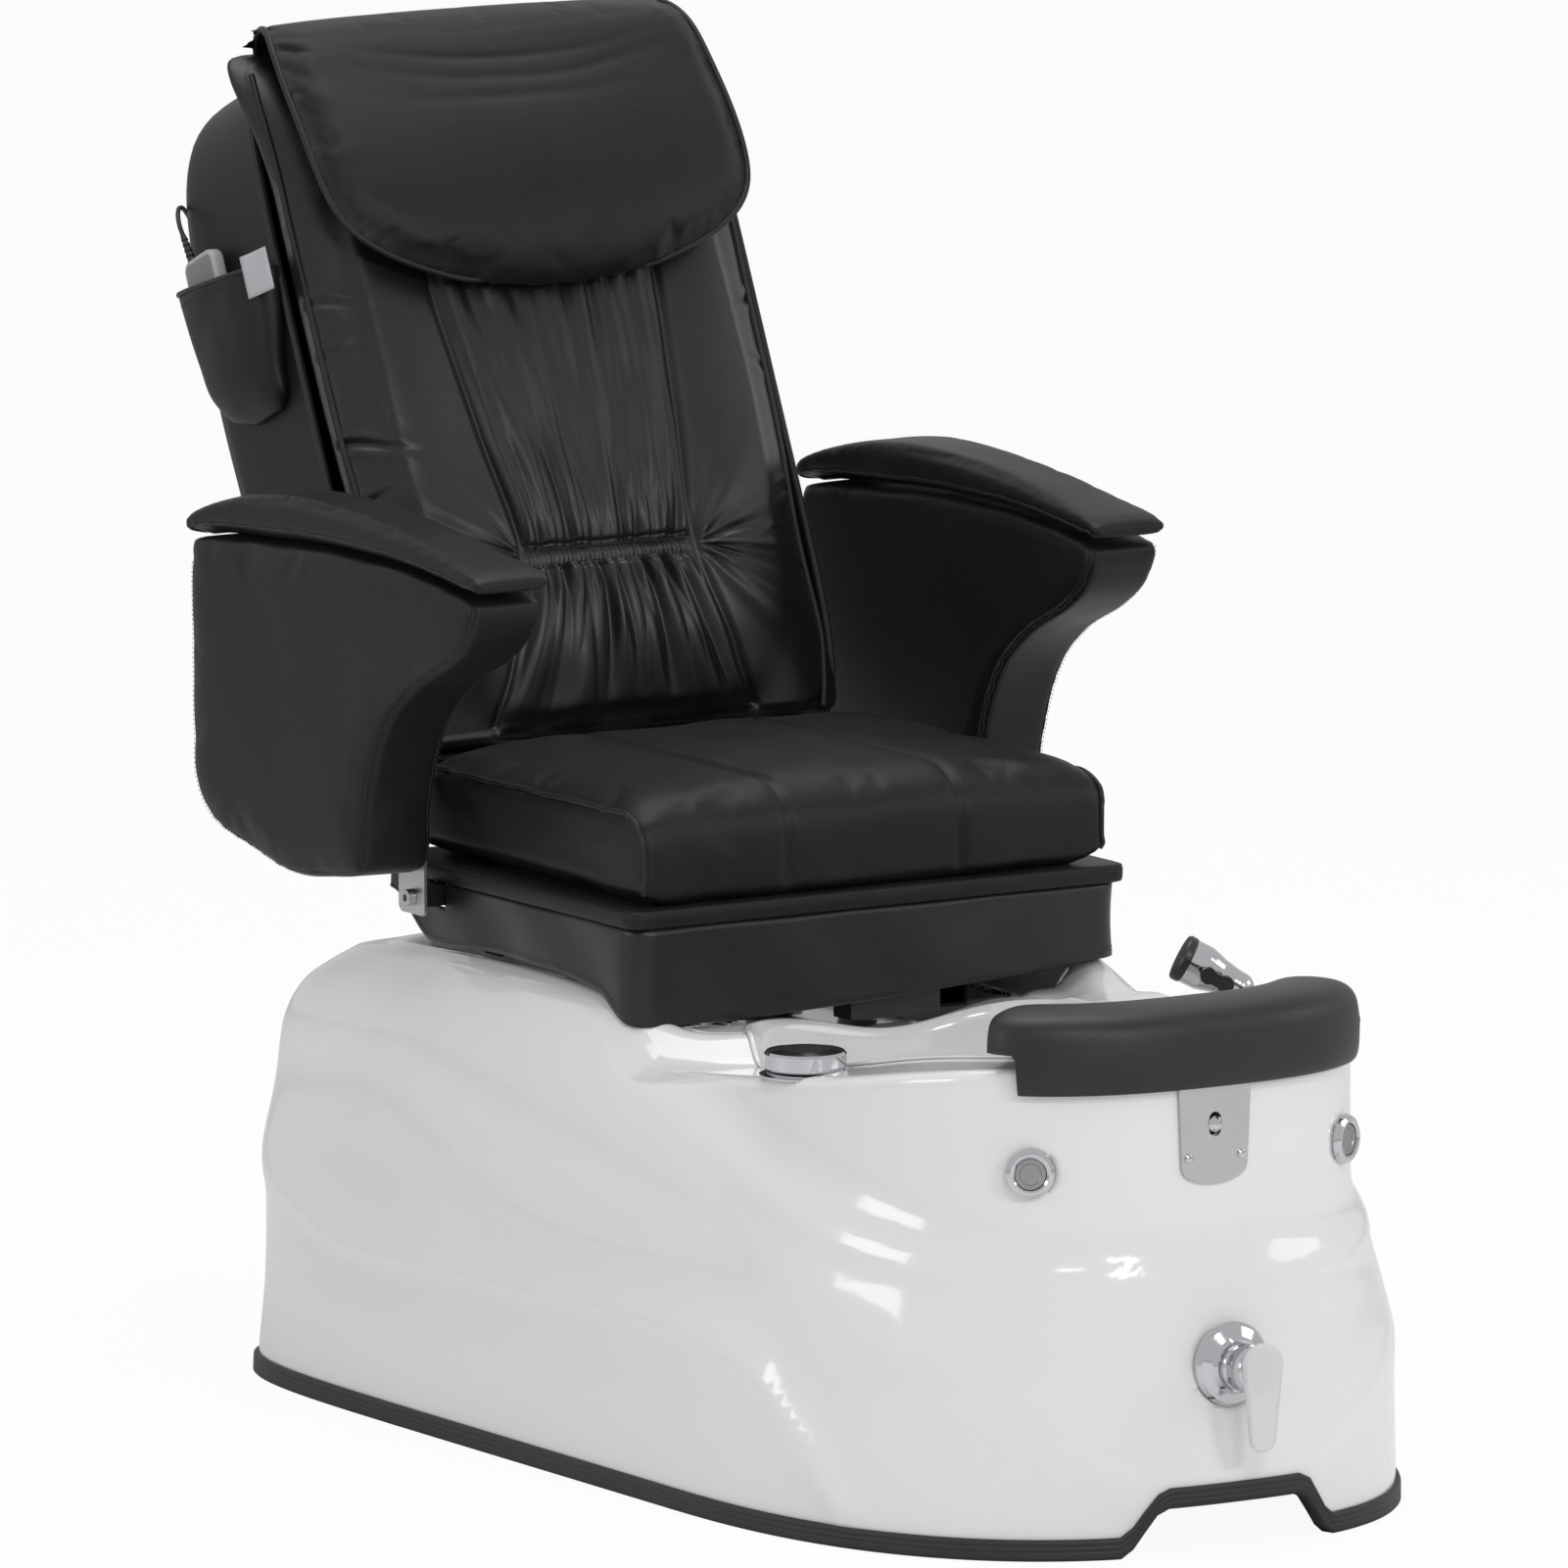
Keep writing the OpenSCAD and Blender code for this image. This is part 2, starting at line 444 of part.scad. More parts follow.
// ---- seat slide ----
rail_x = 150;
rail_z = deck_z + 0.4;
module along_y(y0, y1) translate([0, y1, 0]) rotate([90, 0, 0]) linear_extrude(y1 - y0) children();
module seat_rails() color(dark_steel) in_frame() for (s = [-1, 1]) translate([s * rail_x, 0, rail_z])
    along_y(-60, 282) difference() {
        translate([-18, 0]) square([36, 22]);
        translate([-15, 3]) square([30, 15.5]);
        translate([-8, 15]) square([16, 10]);
    }
module seat_runners() color(steel) in_frame() for (s = [-1, 1])
    translate([s * rail_x, 0, rail_z]) along_y(-15, 278) {
        translate([-13, 5]) square([26, 11]);
        translate([-6, 15]) square([12, 17]);
    }
slide_x = 30;
slide_z = 418;
module slide_actuator() color(dark_steel) in_frame() {
    difference() {
        translate([slide_x, 232, slide_z]) rotate([90, 0, 0]) cylinder(r = 14, h = 212, $fn = fine);
        translate([slide_x, 230, slide_z]) rotate([90, 0, 0]) cylinder(r = 9.6, h = 222, $fn = fine);
    }
    translate([slide_x - 20, 232, rail_z]) cube([90, 54, 40]);
    translate([slide_x - 16, 40, rail_z]) cube([32, 24, 12]);
}
module slide_rod() color(steel) in_frame() translate([slide_x, 215, slide_z]) rotate([90, 0, 0])
    cylinder(r = 9, h = 334, $fn = fine);
module rod_clevis() color(skin_black) in_frame() difference() {
    translate([-20, -150, 406]) cube([100, 31, 81]);
    translate([slide_x, -118, slide_z]) rotate([90, 0, 0]) cylinder(r = 9.05, h = 20, $fn = fine);
}

// ---- seat frame ----
seat_frame_z = board_top_z - board_t - tube;
hinge_at = [0, 310, 530];
lug_x = 226;
pin_r = 8;
module seat_frame() color(dark_steel) in_frame() difference() {
    union() {
        for (x = [-230, 200]) translate([x, -150, seat_frame_z]) cube([tube, 440, tube]);
        for (y = [-150, 90, 260]) translate([-200, y, seat_frame_z]) cube([400, tube, tube]);
        for (s = [-1, 1], y = [92, 250]) translate([s * rail_x - 14, y, rail_z + 32])
            cube([28, 26, seat_frame_z - rail_z - 32]);
        for (s = [-1, 1]) translate([s * (lug_x + 8), 0, 0]) rotate([90, 0, 90])
            linear_extrude(8, center = true) hull() {
                translate([hinge_at.y, hinge_at.z]) circle(r = 20, $fn = 32);
                translate([274, seat_frame_z]) square([16, tube]);
            }
    }
    for (s = [-1, 1]) translate([s * (lug_x + 8), hinge_at.y, hinge_at.z]) rotate([0, 90, 0])
        cylinder(r = pin_r, h = 20, center = true, $fn = fine);
}
module recline_pins() color(steel) in_frame() for (s = [-1, 1])
    translate([s * (lug_x + 12.2), hinge_at.y, hinge_at.z]) rotate([0, -90 * s, 0]) {
        translate([0, 0, -3]) cylinder(r = 13, h = 3, $fn = fine);
        cylinder(r = pin_r - 0.06, h = 27, $fn = fine);
    }
board_front_y = -174;
board_rear_y = 272;
module seat_board() color(skin_black) in_frame()
    translate([0, (board_front_y + board_rear_y) / 2, board_top_z - board_t]) {
        w = 2 * board_half_w;
        l = board_rear_y - board_front_y;
        linear_extrude(board_t) offset(r = 14, $fn = 32) square([w - 28, l - 28], center = true);
    }

// Cushion: crowned, sides drawn in, front rolled over, two sewn channels
cushion_half_w = 271;
cushion_front_y = -172;
cushion_rear_y = 262;
channel_x = 96;
function cushion_loop(s) = let(y = mix(cushion_front_y, cushion_rear_y, (s + 1) / 2),
    tip = pow(1 - pow(abs(s), 9), 1 / 3.2), w = cushion_half_w * (0.985 + 0.015 * tip),
    low = board_top_z + gap, h = cushion_h * (0.5 + 0.5 * tip))
    [for (p = squircle(1, 1, 5, 40)) let(x = p.x * w * (1 - 0.02 * bell((p.y) / 0.4)),
        crown = p.y > 0 ? 5 * (1 - p.x * p.x) - 3 * bell((abs(x) - channel_x) / 9) : 0)
        [x, y, low + (p.y + 1) / 2 * (p.y > 0 ? h : cushion_h * (0.5 + 0.5 * tip)) + crown * tip]];
module seat_cushion() color(skin_black) in_frame()
    skin([for (i = [0:24]) cushion_loop(sin(90 * (2 * i / 24 - 1)))]);

// Vinyl apron hung from the board: place along it, hem height, and folds at the corners
skirt_x = board_half_w - 4;
skirt_front_y = board_front_y + 4;
skirt_rear_y = 268;
skirt_t = 2.4;
corner_r = 26;
hem_side = [[-174, 434], [-140, 441], [-110, 450], [-60, 457], [-20, 460], [90, 462], [200, 458], [268, 500]];
skirt_path = concat(
    [for (y = [skirt_rear_y, 240, 210, 180, 140, 90, 40, -10, -60, -105]) [-skirt_x, y, 180]],
    [for (a = [180:15:270]) [-skirt_x + corner_r + corner_r * cos(a),
        skirt_front_y + corner_r + corner_r * sin(a), a]],
    [for (x = [-200:50:200]) [x, skirt_front_y, 270]],
    [for (a = [270:15:360]) [skirt_x - corner_r + corner_r * cos(a),
        skirt_front_y + corner_r + corner_r * sin(a), a]],
    [for (y = [-105, -60, -10, 40, 90, 140, 180, 210, 240, skirt_rear_y]) [skirt_x, y, 0]]);
function skirt_hem(p) = let(side = (p.x + skirt_x) / (2 * skirt_x))
    mix(424 + 22 * side, sheer(hem_side, p.y), ease((p.y + 168) / 60));
function skirt_row(p) = let(o = [cos(p[2]), sin(p[2])], top = board_top_z - board_t - gap, hem = skirt_hem(p),
    fold = 2 * sin(2.3 * (p.x + p.y)) * ease((230 - p.y) / 60),
    at = function (f, e) concat([p.x, p.y] + o * (e + fold * sin(180 * f)), mix(top, hem, f)))
    [at(0, -skirt_t), at(0.35, -skirt_t), at(0.7, -skirt_t), at(1, -skirt_t), at(1, 0), at(0.7, 0),
     at(0.35, 0), at(0, 0)];
stub_y = 180;
module seat_skirt() color(skin_black) in_frame() difference() {
    skin([for (p = skirt_path) skirt_row(p)]);
    for (s = [-1, 1]) translate([s * skirt_x, stub_y, 508]) cube([30, 26, 30], center = true);
}

// ---- arms ----
arm_inner_x = arm_outer_x - arm_w;
arm_pivot = [stub_y, 504];
bolt_r = 4.95;
module arm_stubs() color(dark_steel) in_frame() for (s = [-1, 1]) difference() {
    translate([s > 0 ? 230 : -299, stub_y - 11, arm_pivot.y - 9]) cube([69, 22, 20]);
    translate([s * 299, arm_pivot.x, arm_pivot.y]) rotate([0, 90, 0])
        cylinder(r = bolt_r + 0.01, h = 40, center = true, $fn = 32);
}
module arm_pivot_bolts() color(steel) in_frame() for (s = [-1, 1])
    translate([s * (arm_inner_x + gap), arm_pivot.x, arm_pivot.y]) rotate([0, s * 90, 0]) difference() {
        union() {
            cylinder(r = 8, h = 8, $fn = fine);
            translate([0, 0, -24]) cylinder(r = bolt_r, h = 25, $fn = fine);
        }
        translate([0, 0, 3]) cylinder(r = 4, h = 6, $fn = 6);
    }
module arm_lug() difference() {
    linear_extrude(3) polygon([[158, 492], [162, 488], [200, 488], [205, 493], [205, 570], [158, 570]]);
    translate([arm_pivot.x, arm_pivot.y, -1]) cylinder(r = bolt_r + 0.05, h = 5, $fn = 32);
    translate([194, 497, -1]) cylinder(r = 4, h = 5, $fn = 32);
}
module lug_on(s) in_frame() translate([s > 0 ? arm_inner_x - 3 : -arm_inner_x, 0, 0])
    rotate([90, 0, 90]) arm_lug();
module arm_lug_left() color(steel) lug_on(-1);
module arm_lug_right() color(steel) lug_on(1);
// Side view of an arm, (y, z), from the front tip round under it
arm_line = [[-66, 818], [-59, 796], [-42, 774], [-8, 750], [48, 720], [92, 684], [118, 638],
    [132, 588], [137, 548], [150, 530], [205, 521], [277, 515], [350, 530], [422, 549], [453, 586],
    [459, 640], [460, 730], [458, 812], [442, 828], [330, 829], [200, 829], [60, 829], [-48, 829]];
function drawn_in(p, d) = [for (i = [0:len(p) - 1]) let(a = p[(i + len(p) - 1) % len(p)],
    b = p[(i + 1) % len(p)], v = b - a, n = [v.y, -v.x] / norm(v)) p[i] + n * d];
arm_curve = loop_through(arm_line, 2);
arm_edge = 6;
arm_faces = [[arm_outer_x, 1], [arm_outer_x - 1.8, 0.3], [arm_outer_x - arm_edge, 0],
    [arm_inner_x + arm_edge, 0], [arm_inner_x + 1.8, 0.3], [arm_inner_x, 1]];
module arm_body(s) in_frame() mirror([s > 0 ? 0 : 1, 0, 0])
    skin([for (f = arm_faces) [for (p = drawn_in(arm_curve, -f[1] * arm_edge)) [f[0], p.x, p.y]]]);
module arm_left() color(skin_black) arm_body(-1);
module arm_right() color(skin_black) arm_body(1);
// Arched pad lying on the arm
pad_under_z = 830.4;
pad_crest = [[-80, 837], [-62, 844], [0, 856], [90, 870], [180, 878], [260, 880], [340, 874],
    [410, 860], [452, 846], [464, 838]];
pad_ys = [-80, -76, -62, -30, 20, 80, 150, 220, 290, 350, 400, 436, 456, 464];
module arm_pad(s) in_frame() translate([s * (arm_inner_x + arm_outer_x) / 2, 0, 0])
    skin([for (y = pad_ys) let(h = (sheer(pad_crest, y) - pad_under_z) / 2,
        end = pow(1 - pow(abs((y - 192) / 272.5), 14), 0.3))
        [for (p = squircle(arm_w / 2 + 3, h, 3.6, 24))
            [p.x * (0.86 + 0.14 * end), y, pad_under_z + h + p.y]]]);
module arm_pad_left() color(skin_black) arm_pad(-1);
module arm_pad_right() color(skin_black) arm_pad(1);

// ---- backrest: local x across, y rearwards, z up the lean ----
back_foot = [0, 271, 632];
module on_back() in_frame() translate(back_foot) rotate([-back_lean, 0, 0]) children();
// The recline hinge in the back's own axes
hinge_local = let(y = hinge_at.y - back_foot.y, z = hinge_at.z - back_foot.z)
    [0, y * cos(back_lean) - z * sin(back_lean), y * sin(back_lean) + z * cos(back_lean)];
module back_frame() color(dark_steel) on_back() difference() {
    union() {
        for (s = [-1, 1]) translate([s * 216 - 12.5, 62, 0]) cube([25, 25, 650]);
        for (z = [0, 625]) translate([-203.5, 62, z]) cube([407, 25, 25]);
        for (s = [-1, 1]) translate([s * lug_x - 3, 0, 0]) rotate([90, 0, 90]) linear_extrude(6) hull() {
            translate([hinge_local.y, hinge_local.z]) circle(r = 17, $fn = 32);
            translate([62, -50]) square([25, 60]);
        }
        translate([-106, 0, 0]) rotate([90, 0, 90]) linear_extrude(8) hull() {
            translate([70, 2]) square([14, 10]);
            translate(lever_local()) circle(r = 9, $fn = 32);
        }
        translate([-113, lever_local().x, lever_local().y]) rotate([0, 90, 0])
            cylinder(r = 4.95, h = 22, $fn = 32);
    }
    for (s = [-1, 1]) translate([s * lug_x, hinge_local.y, hinge_local.z]) rotate([0, 90, 0])
        cylinder(r = pin_r, h = 20, center = true, $fn = fine);
}
lever_arm = 55;
// Lower end of the recline lever, in the back's local (y, z)
function lever_local() = let(a = recline / 2, v = [lever_arm * sin(a), -lever_arm * cos(a)])
    [hinge_local.y + v.x * cos(back_lean) - v.y * sin(back_lean),
     hinge_local.z + v.x * sin(back_lean) + v.y * cos(back_lean)];
lever_rest = hinge_at + [0, lever_arm * sin(recline / 2), -lever_arm * cos(recline / 2)];
rod_z = lever_rest.z - 3;
rod_r = 8;
module recline_actuator() color(dark_steel) in_frame() {
    difference() {
        union() {
            translate([-102, 200, rod_z]) rotate([90, 0, 0]) cylinder(r = 12, h = 190, $fn = fine);
            translate([-114, 92, rod_z]) cube([24, 26, seat_frame_z - rod_z]);
        }
        translate([-102, 201, rod_z]) rotate([90, 0, 0]) cylinder(r = rod_r + 0.06, h = 180, $fn = fine);
    }
    translate([-132, -60, rod_z - 20]) cube([70, 70, 44]);
}
module recline_rod() color(steel) in_frame() difference() {
    union() {
        translate([-102, lever_rest.y - 20, rod_z]) rotate([90, 0, 0]) cylinder(r = rod_r, h = 230, $fn = fine);
        for (x = [-115, -97]) translate([x, lever_rest.y - 20, lever_rest.z - 12]) cube([8, 32, 21]);
        translate([-115, lever_rest.y - 26, lever_rest.z - 12]) cube([26, 8, 21]);
    }
    hull() for (z = [-3, 1]) translate([-102, lever_rest.y, lever_rest.z + z]) rotate([0, 90, 0])
        cylinder(r = 5.6, h = 40, center = true, $fn = 32);
}

// Rear shell: a deep pan open to the front
back_depth = [[-40, 150], [120, 194], [330, 209], [420, 211], [560, 200], [650, 191], [706, 176]];
// The top of the back rolls rearwards
back_roll = [[560, 0], [620, 7], [660, 16], [700, 30], [722, 38]];
back_mid_z = 334;
back_half_h = 370;
pan_rings = [[0, 0], [0, 0.3], [0, 0.75], [3, 0.86], [9, 0.94], [22, 0.985]];
function pan_point(p, half_w, half_h, f, wall) = let(z = back_mid_z + p.y * half_h,
    mouth = 22 + sheer(back_roll, z), d = max(mouth + 60, sheer(back_depth, z)))
    [p.x * half_w, mouth + (d - mouth - wall) * f, z];
function pan_loop(inset, f, wall) = [for (p = squircle(1, 1, 6.5, 40))
    pan_point(p, back_half_w - inset - wall, back_half_h - inset - wall, f, wall)];
function pan_dome(k, wall) = [for (p = squircle(1, 1, 6.5, 40))
    pan_point(p, (back_half_w - 22) * k, (back_half_h - 22) * k, 0.985 + 0.015 * (1 - k), wall)];
pan_wall = 5;
module back_shell() color(skin_black) on_back() difference() {
    skin(concat(
        [for (k = [0.02, 0.35, 0.7]) pan_dome(k, pan_wall)],
        [for (i = [5:-1:0]) pan_loop(pan_rings[i][0], pan_rings[i][1], pan_wall)],
        [for (r = pan_rings) pan_loop(r[0], r[1], 0)],
        [for (k = [0.7, 0.35, 0.02]) pan_dome(k, 0)]));
    // Slots for the hinge lugs and the recline lever
    for (s = [-1, 1]) translate([s * lug_x - 8, 52, -60]) cube([16, 52, 75]);
    translate([-110, 58, -60]) cube([16, 56, 50]);
}
module massage_rails() color(steel) on_back() for (s = [-1, 1])
    translate([s * 118 - 8, 104, 4.8]) cube([16, 20, 620.4]);
carriage_z = 60;
module massage_carriage() color("gray") on_back() difference() {
    union() {
        translate([-100, 84, carriage_z]) cube([200, 40, 110]);
        for (s = [-1, 1]) translate([s * 100 - (s < 0 ? 8 : 0), 70, carriage_z + 30]) cube([8, 33, 50]);
    }
    translate([0, 78, carriage_z + 55]) rotate([0, 90, 0]) cylinder(r = 8.1, h = 230, center = true, $fn = fine);
    translate([-92, 60, carriage_z + 8]) cube([184, 54, 94]);
}
module kneading_shaft() color(steel) on_back() translate([0, 78, carriage_z + 55]) rotate([0, 90, 0])
    cylinder(r = 8, h = 218, center = true, $fn = fine);
module kneading_rollers() color("tan") on_back() for (s = [-1, 1])
    translate([s * 52, 78, carriage_z + 55]) rotate([0, 90, 0]) difference() {
        translate([5, 0, 0]) rotate_extrude($fn = fine)
            polygon([[0, -17], [24, -17], [27, -13], [28, 0], [27, 13], [24, 17], [0, 17]]);
        cylinder(r = 8.02, h = 50, center = true, $fn = fine);
    }

// Front cushion: flat back, crowned front with a gathered centre panel pinched at the waist
cover_low = -6;
cover_high = 722;
cover_back = 21.2;
waist_z = 168;
panel_half_w = [[-6, 150], [168, 98], [300, 112], [460, 128], [722, 130]];
crown_d = [[-6, 6], [90, -20], [168, -27], [260, -25], [400, -22], [560, -16], [680, -12], [722, -4]];
seam_shares = [1, 0.965, 0.86, 0.6, 0.25];
folds = 7;
// Places across the front, from one edge over the panel's folds to the other
function cover_xs(w, pw) = concat([for (f = seam_shares) -mix(pw, w, f)],
    [for (i = [0:2 * folds]) mix(-pw, pw, i / (2 * folds))], [for (k = [4:-1:0]) mix(pw, w, seam_shares[k])]);
function cover_front(x, i, z, w, pw) = let(fold = i - 5, pinch = bell((z - waist_z) / 18),
    seam = fold == 0 || fold == 2 * folds, inside = fold > 0 && fold < 2 * folds)
    min(16, sheer(crown_d, z) * (1 - 0.3 * pow(x / w, 2)) + (seam ? 4 : 0)
    + (inside ? 3 + 5 * pinch + (fold % 2 == 0 ? 1.6 : -1.6) * (1 - 0.7 * pinch) : 0));
function cover_loop(s) = let(z = mix(cover_low, cover_high, (s + 1) / 2),
    tip = pow(1 - pow(abs(s), 12), 1 / 3), w = cover_half_w * (0.92 + 0.08 * tip)
        - 9 * bell((z - 150) / 120), pw = sheer(panel_half_w, z), xs = cover_xs(w, pw))
    concat([for (i = [0:len(xs) - 1]) let(x = xs[i], f = cover_front(x, i, z, w, pw))
            [x, mix(cover_back - 8, mix(f, 15, pow(abs(x) / w, 14)), tip) + sheer(back_roll, z), z]],
        [for (k = [2:-1:-2]) [w * k / 2, cover_back + sheer(back_roll, z), z]]);
module back_cushion() color(skin_black) on_back()
    skin([for (i = [28:-1:0]) cover_loop(sin(90 * (2 * i / 28 - 1)))]);

// Head pillow: hangs over the top and ends in a rounded hem
flap_path = [[60, 682], [62, 704], [52, 721], [30, 731], [6, 724], [-14, 698], [-30, 648],
    [-46, 590], [-56, 530], [-58, 488], [-55, 460], [-50, 443], [-45, 435]];
flap_half_w = [[0, 230], [2, 234], [4, 240], [6, 249], [8, 245], [9, 224], [10, 176], [11, 118], [12, 60]];
flap_last = len(flap_path) - 1;
function flap_dir(i) = let(v = flap_path[min(flap_last, i + 1)] - flap_path[max(0, i - 1)]) v / norm(v);
flap_thick = [[0, 4], [3, 5], [6, 14], [8, 19], [10, 13], [12, 4]];
module head_flap() color(skin_black) on_back() skin([for (i = [flap_last:-1:0]) let(c = flap_path[i],
    v = flap_dir(i), n = [v.y, -v.x], w = sheer(flap_half_w, i), t = sheer(flap_thick, i))
    [for (p = squircle(1, 1, 2.6, 28)) let(e = n * t * p.y * (0.35 + 0.65 * (1 - p.x ^ 4)))
        [p.x * w, c.x + e.x, c.y + e.y]]]);

// ---- handset in its pocket on the sitter's right ----
pocket_x = -back_half_w;
pocket_wall = 2.2;
// height, front edge, rear edge and bulge of the pouch
pocket_rows = [[362, 66, 118, 8], [372, 52, 144, 18], [400, 44, 165, 29], [440, 30, 175, 32],
    [480, 20, 183, 33], [504, 16, 188, 33]];
// Side of the back shell at a depth: it rounds off towards the rear
pan_side = [[160, 0], [184, 3], [199, 9], [208, 22]];
function pouch_loop(r, wall) = let(a = r[1] + wall, b = r[2] - wall, m = (a + b) / 2, h = (b - a) / 2,
    low = r[0] < 365 ? wall : 0)
    [for (i = [0:23]) let(t = i < 16 ? 12 * i : 180, c = i < 16 ? cos(t) : mix(-1, 1, (i - 15.5) / 8.5),
        d = m + h * c, out = i < 16 ? pow(sin(t), 0.45) * (r[3] - 2 * wall) : 0)
        [pocket_x - gap + sheer(pan_side, d) - wall - out, d,
         r[0] + low + (r[0] > 500 ? 12 * c : 0)]];
module handset_pocket() color(skin_black) on_back() skin(concat(
    [for (r = pocket_rows) pouch_loop(r, pocket_wall)],
    [for (i = [5:-1:0]) pouch_loop(pocket_rows[i], 0)]));
module pocket_tag() color("gray") on_back() translate([pocket_x - 24, -2, 464]) rotate([0, 0, 18])
    cube([1.2, 34, 42]);
handset_at = [pocket_x - 14, 131, 400];
handset_r = 12;
handset_t = 13;
module handset() color("lightgray") on_back() translate(handset_at) hull()
    for (y = [-17, 17], z = [26, 128]) translate([0, y, z]) rotate([0, 90, 0])
        cylinder(r = handset_r, h = handset_t, center = true, $fn = 32);
function from_back(p) = back_foot + [p.x, p.y * cos(back_lean) + p.z * sin(back_lean),
    p.z * cos(back_lean) - p.y * sin(back_lean)];
// Strain relief on the handset's rear shoulder, 3 back for 4 up
relief_l = 30;
relief_at = from_back(handset_at + [0, 17, 128]) + [0, 0.6, 0.8] * (handset_r + 0.05);
module handset_relief() color(skin_black) in_frame() translate(relief_at) rotate([-atan2(3, 4), 0, 0]) {
    for (k = [0:4]) translate([0, 0, 6 * k])
        cylinder(d1 = 9.5 - k * 0.6, d2 = 8 - k * 0.6, h = 4, $fn = 24);
    cylinder(d = 5.4, h = relief_l, $fn = 24);
}
// The cord's way from the relief, round the shell's edge and down behind it to the gland
cord_d = 4.6;
cord_route = [[0, 18, 24], [0, 24, 32], [4, 34, 41], [13, 47, 46], [26, 60, 43], [41, 69, 27], [54, 69, -2],
    [66, 64, -40], [80, 64, -85], [98, 64, -130], [122, 64, -166], [152, 64, -184], [184, 64, -182],
    [214, 64, -164], [242, 65, -138], [266, 66, -110], [282, 65, -89], [289, 59, -76],
    [290, 51, -71], [290, 40, -66]];
gland_l = 9;
module cord_gland() color(skin_black) in_frame() translate(relief_at + cord_route[len(cord_route) - 1])
    rotate([90 - back_lean, 0, 0]) cylinder(d = 12, h = gland_l, $fn = 24);
module tube_along(path, r, sides) {
    n = len(path);
    skin([for (i = [0:n - 1]) let(v = path[min(n - 1, i + 1)] - path[max(0, i - 1)], d = v / norm(v),
        u = cross(d, [0.6, -0.45, -0.65]), a = u / norm(u), b = cross(a, d))
        [for (k = [0:sides - 1]) path[i] + r * (a * cos(360 * k / sides) + b * sin(360 * k / sides))]]);
}
module handset_cord() color(skin_black) in_frame() translate(relief_at)
    tube_along(concat([for (i = [0:len(cord_route) - 2], k = [0:2]) let(n = len(cord_route),
        a = cord_route[max(0, i - 1)], b = cord_route[i], c = cord_route[i + 1],
        d = cord_route[min(n - 1, i + 2)], t = k / 3)
        0.5 * (2 * b + (c - a) * t + (2 * a - 5 * b + 4 * c - d) * t ^ 2
        + (3 * b - a - 3 * c + d) * t ^ 3)], [cord_route[len(cord_route) - 1]]), cord_d / 2, 8);

base_shell();
floor_trim();
foot_basin();
base_frame();
levelling_feet();
drain_strainer();
drain_valve();
drain_escutcheon();
drain_lever();
footrest_bracket();
bracket_fasteners();
footrest_pad();
button_bezels();
button_bellows();
air_button_left();
air_button_right();
knob_flange();
rim_knob();
mixer_valve();
shower_socket();
hand_shower();
spray_face();
shower_toggle();
jet_cover();
jet_motor();
power_box();
seat_rails();
slide_actuator();
seat_frame();
seat_runners();
slide_rod();
rod_clevis();
seat_board();
seat_cushion();
seat_skirt();
arm_stubs();
arm_pivot_bolts();
arm_left();
arm_right();
arm_pad_left();
arm_pad_right();
arm_lug_left();
arm_lug_right();
recline_pins();
recline_actuator();
recline_rod();
back_frame();
back_shell();
massage_rails();
massage_carriage();
kneading_shaft();
kneading_rollers();
back_cushion();
head_flap();
handset_pocket();
pocket_tag();
handset();
handset_relief();
handset_cord();
cord_gland();
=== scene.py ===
import math
import bpy
import bmesh
import numpy as np
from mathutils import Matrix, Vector
from mathutils.bvhtree import BVHTree
from mathutils.kdtree import KDTree


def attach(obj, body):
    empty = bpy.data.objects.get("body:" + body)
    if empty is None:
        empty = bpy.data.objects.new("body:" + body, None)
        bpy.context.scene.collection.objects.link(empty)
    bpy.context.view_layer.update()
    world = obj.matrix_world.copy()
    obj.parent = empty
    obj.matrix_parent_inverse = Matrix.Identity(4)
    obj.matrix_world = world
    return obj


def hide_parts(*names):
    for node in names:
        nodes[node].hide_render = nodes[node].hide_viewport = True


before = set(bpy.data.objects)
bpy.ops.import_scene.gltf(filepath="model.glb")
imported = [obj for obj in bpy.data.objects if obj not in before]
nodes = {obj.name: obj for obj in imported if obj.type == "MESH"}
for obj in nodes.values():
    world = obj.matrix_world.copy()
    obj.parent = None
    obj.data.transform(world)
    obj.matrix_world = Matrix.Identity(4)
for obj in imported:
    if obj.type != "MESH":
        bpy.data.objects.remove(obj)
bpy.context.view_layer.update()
chair = {"drawnAhead": 54.9, "backLean": 24.4, "backFoot": (0, 271, 632), "shellHalfW": 262}


# Shapes are worked out in millimetres
def mix(a, b, t):
    return a + (b - a) * t


def ease(t):
    t = np.clip(t, 0, 1)
    return t * t * (3 - 2 * t)


def bell(t):
    return np.exp(-np.square(t))


def sheer(table, x):
    p = np.array(table, float)
    x = np.clip(np.asarray(x, float), p[0, 0], p[-1, 0])
    slope = np.zeros(len(p))
    slope[1:-1] = (p[2:, 1] - p[:-2, 1]) / (p[2:, 0] - p[:-2, 0])
    i = np.clip(np.searchsorted(p[:, 0], x, side="right") - 1, 0, len(p) - 2)
    h = p[i + 1, 0] - p[i, 0]
    t = (x - p[i, 0]) / h
    return ((2 * t**3 - 3 * t**2 + 1) * p[i, 1] + (t**3 - 2 * t**2 + t) * slope[i] * h
            + (3 * t**2 - 2 * t**3) * p[i + 1, 1] + (t**3 - t**2) * slope[i + 1] * h)


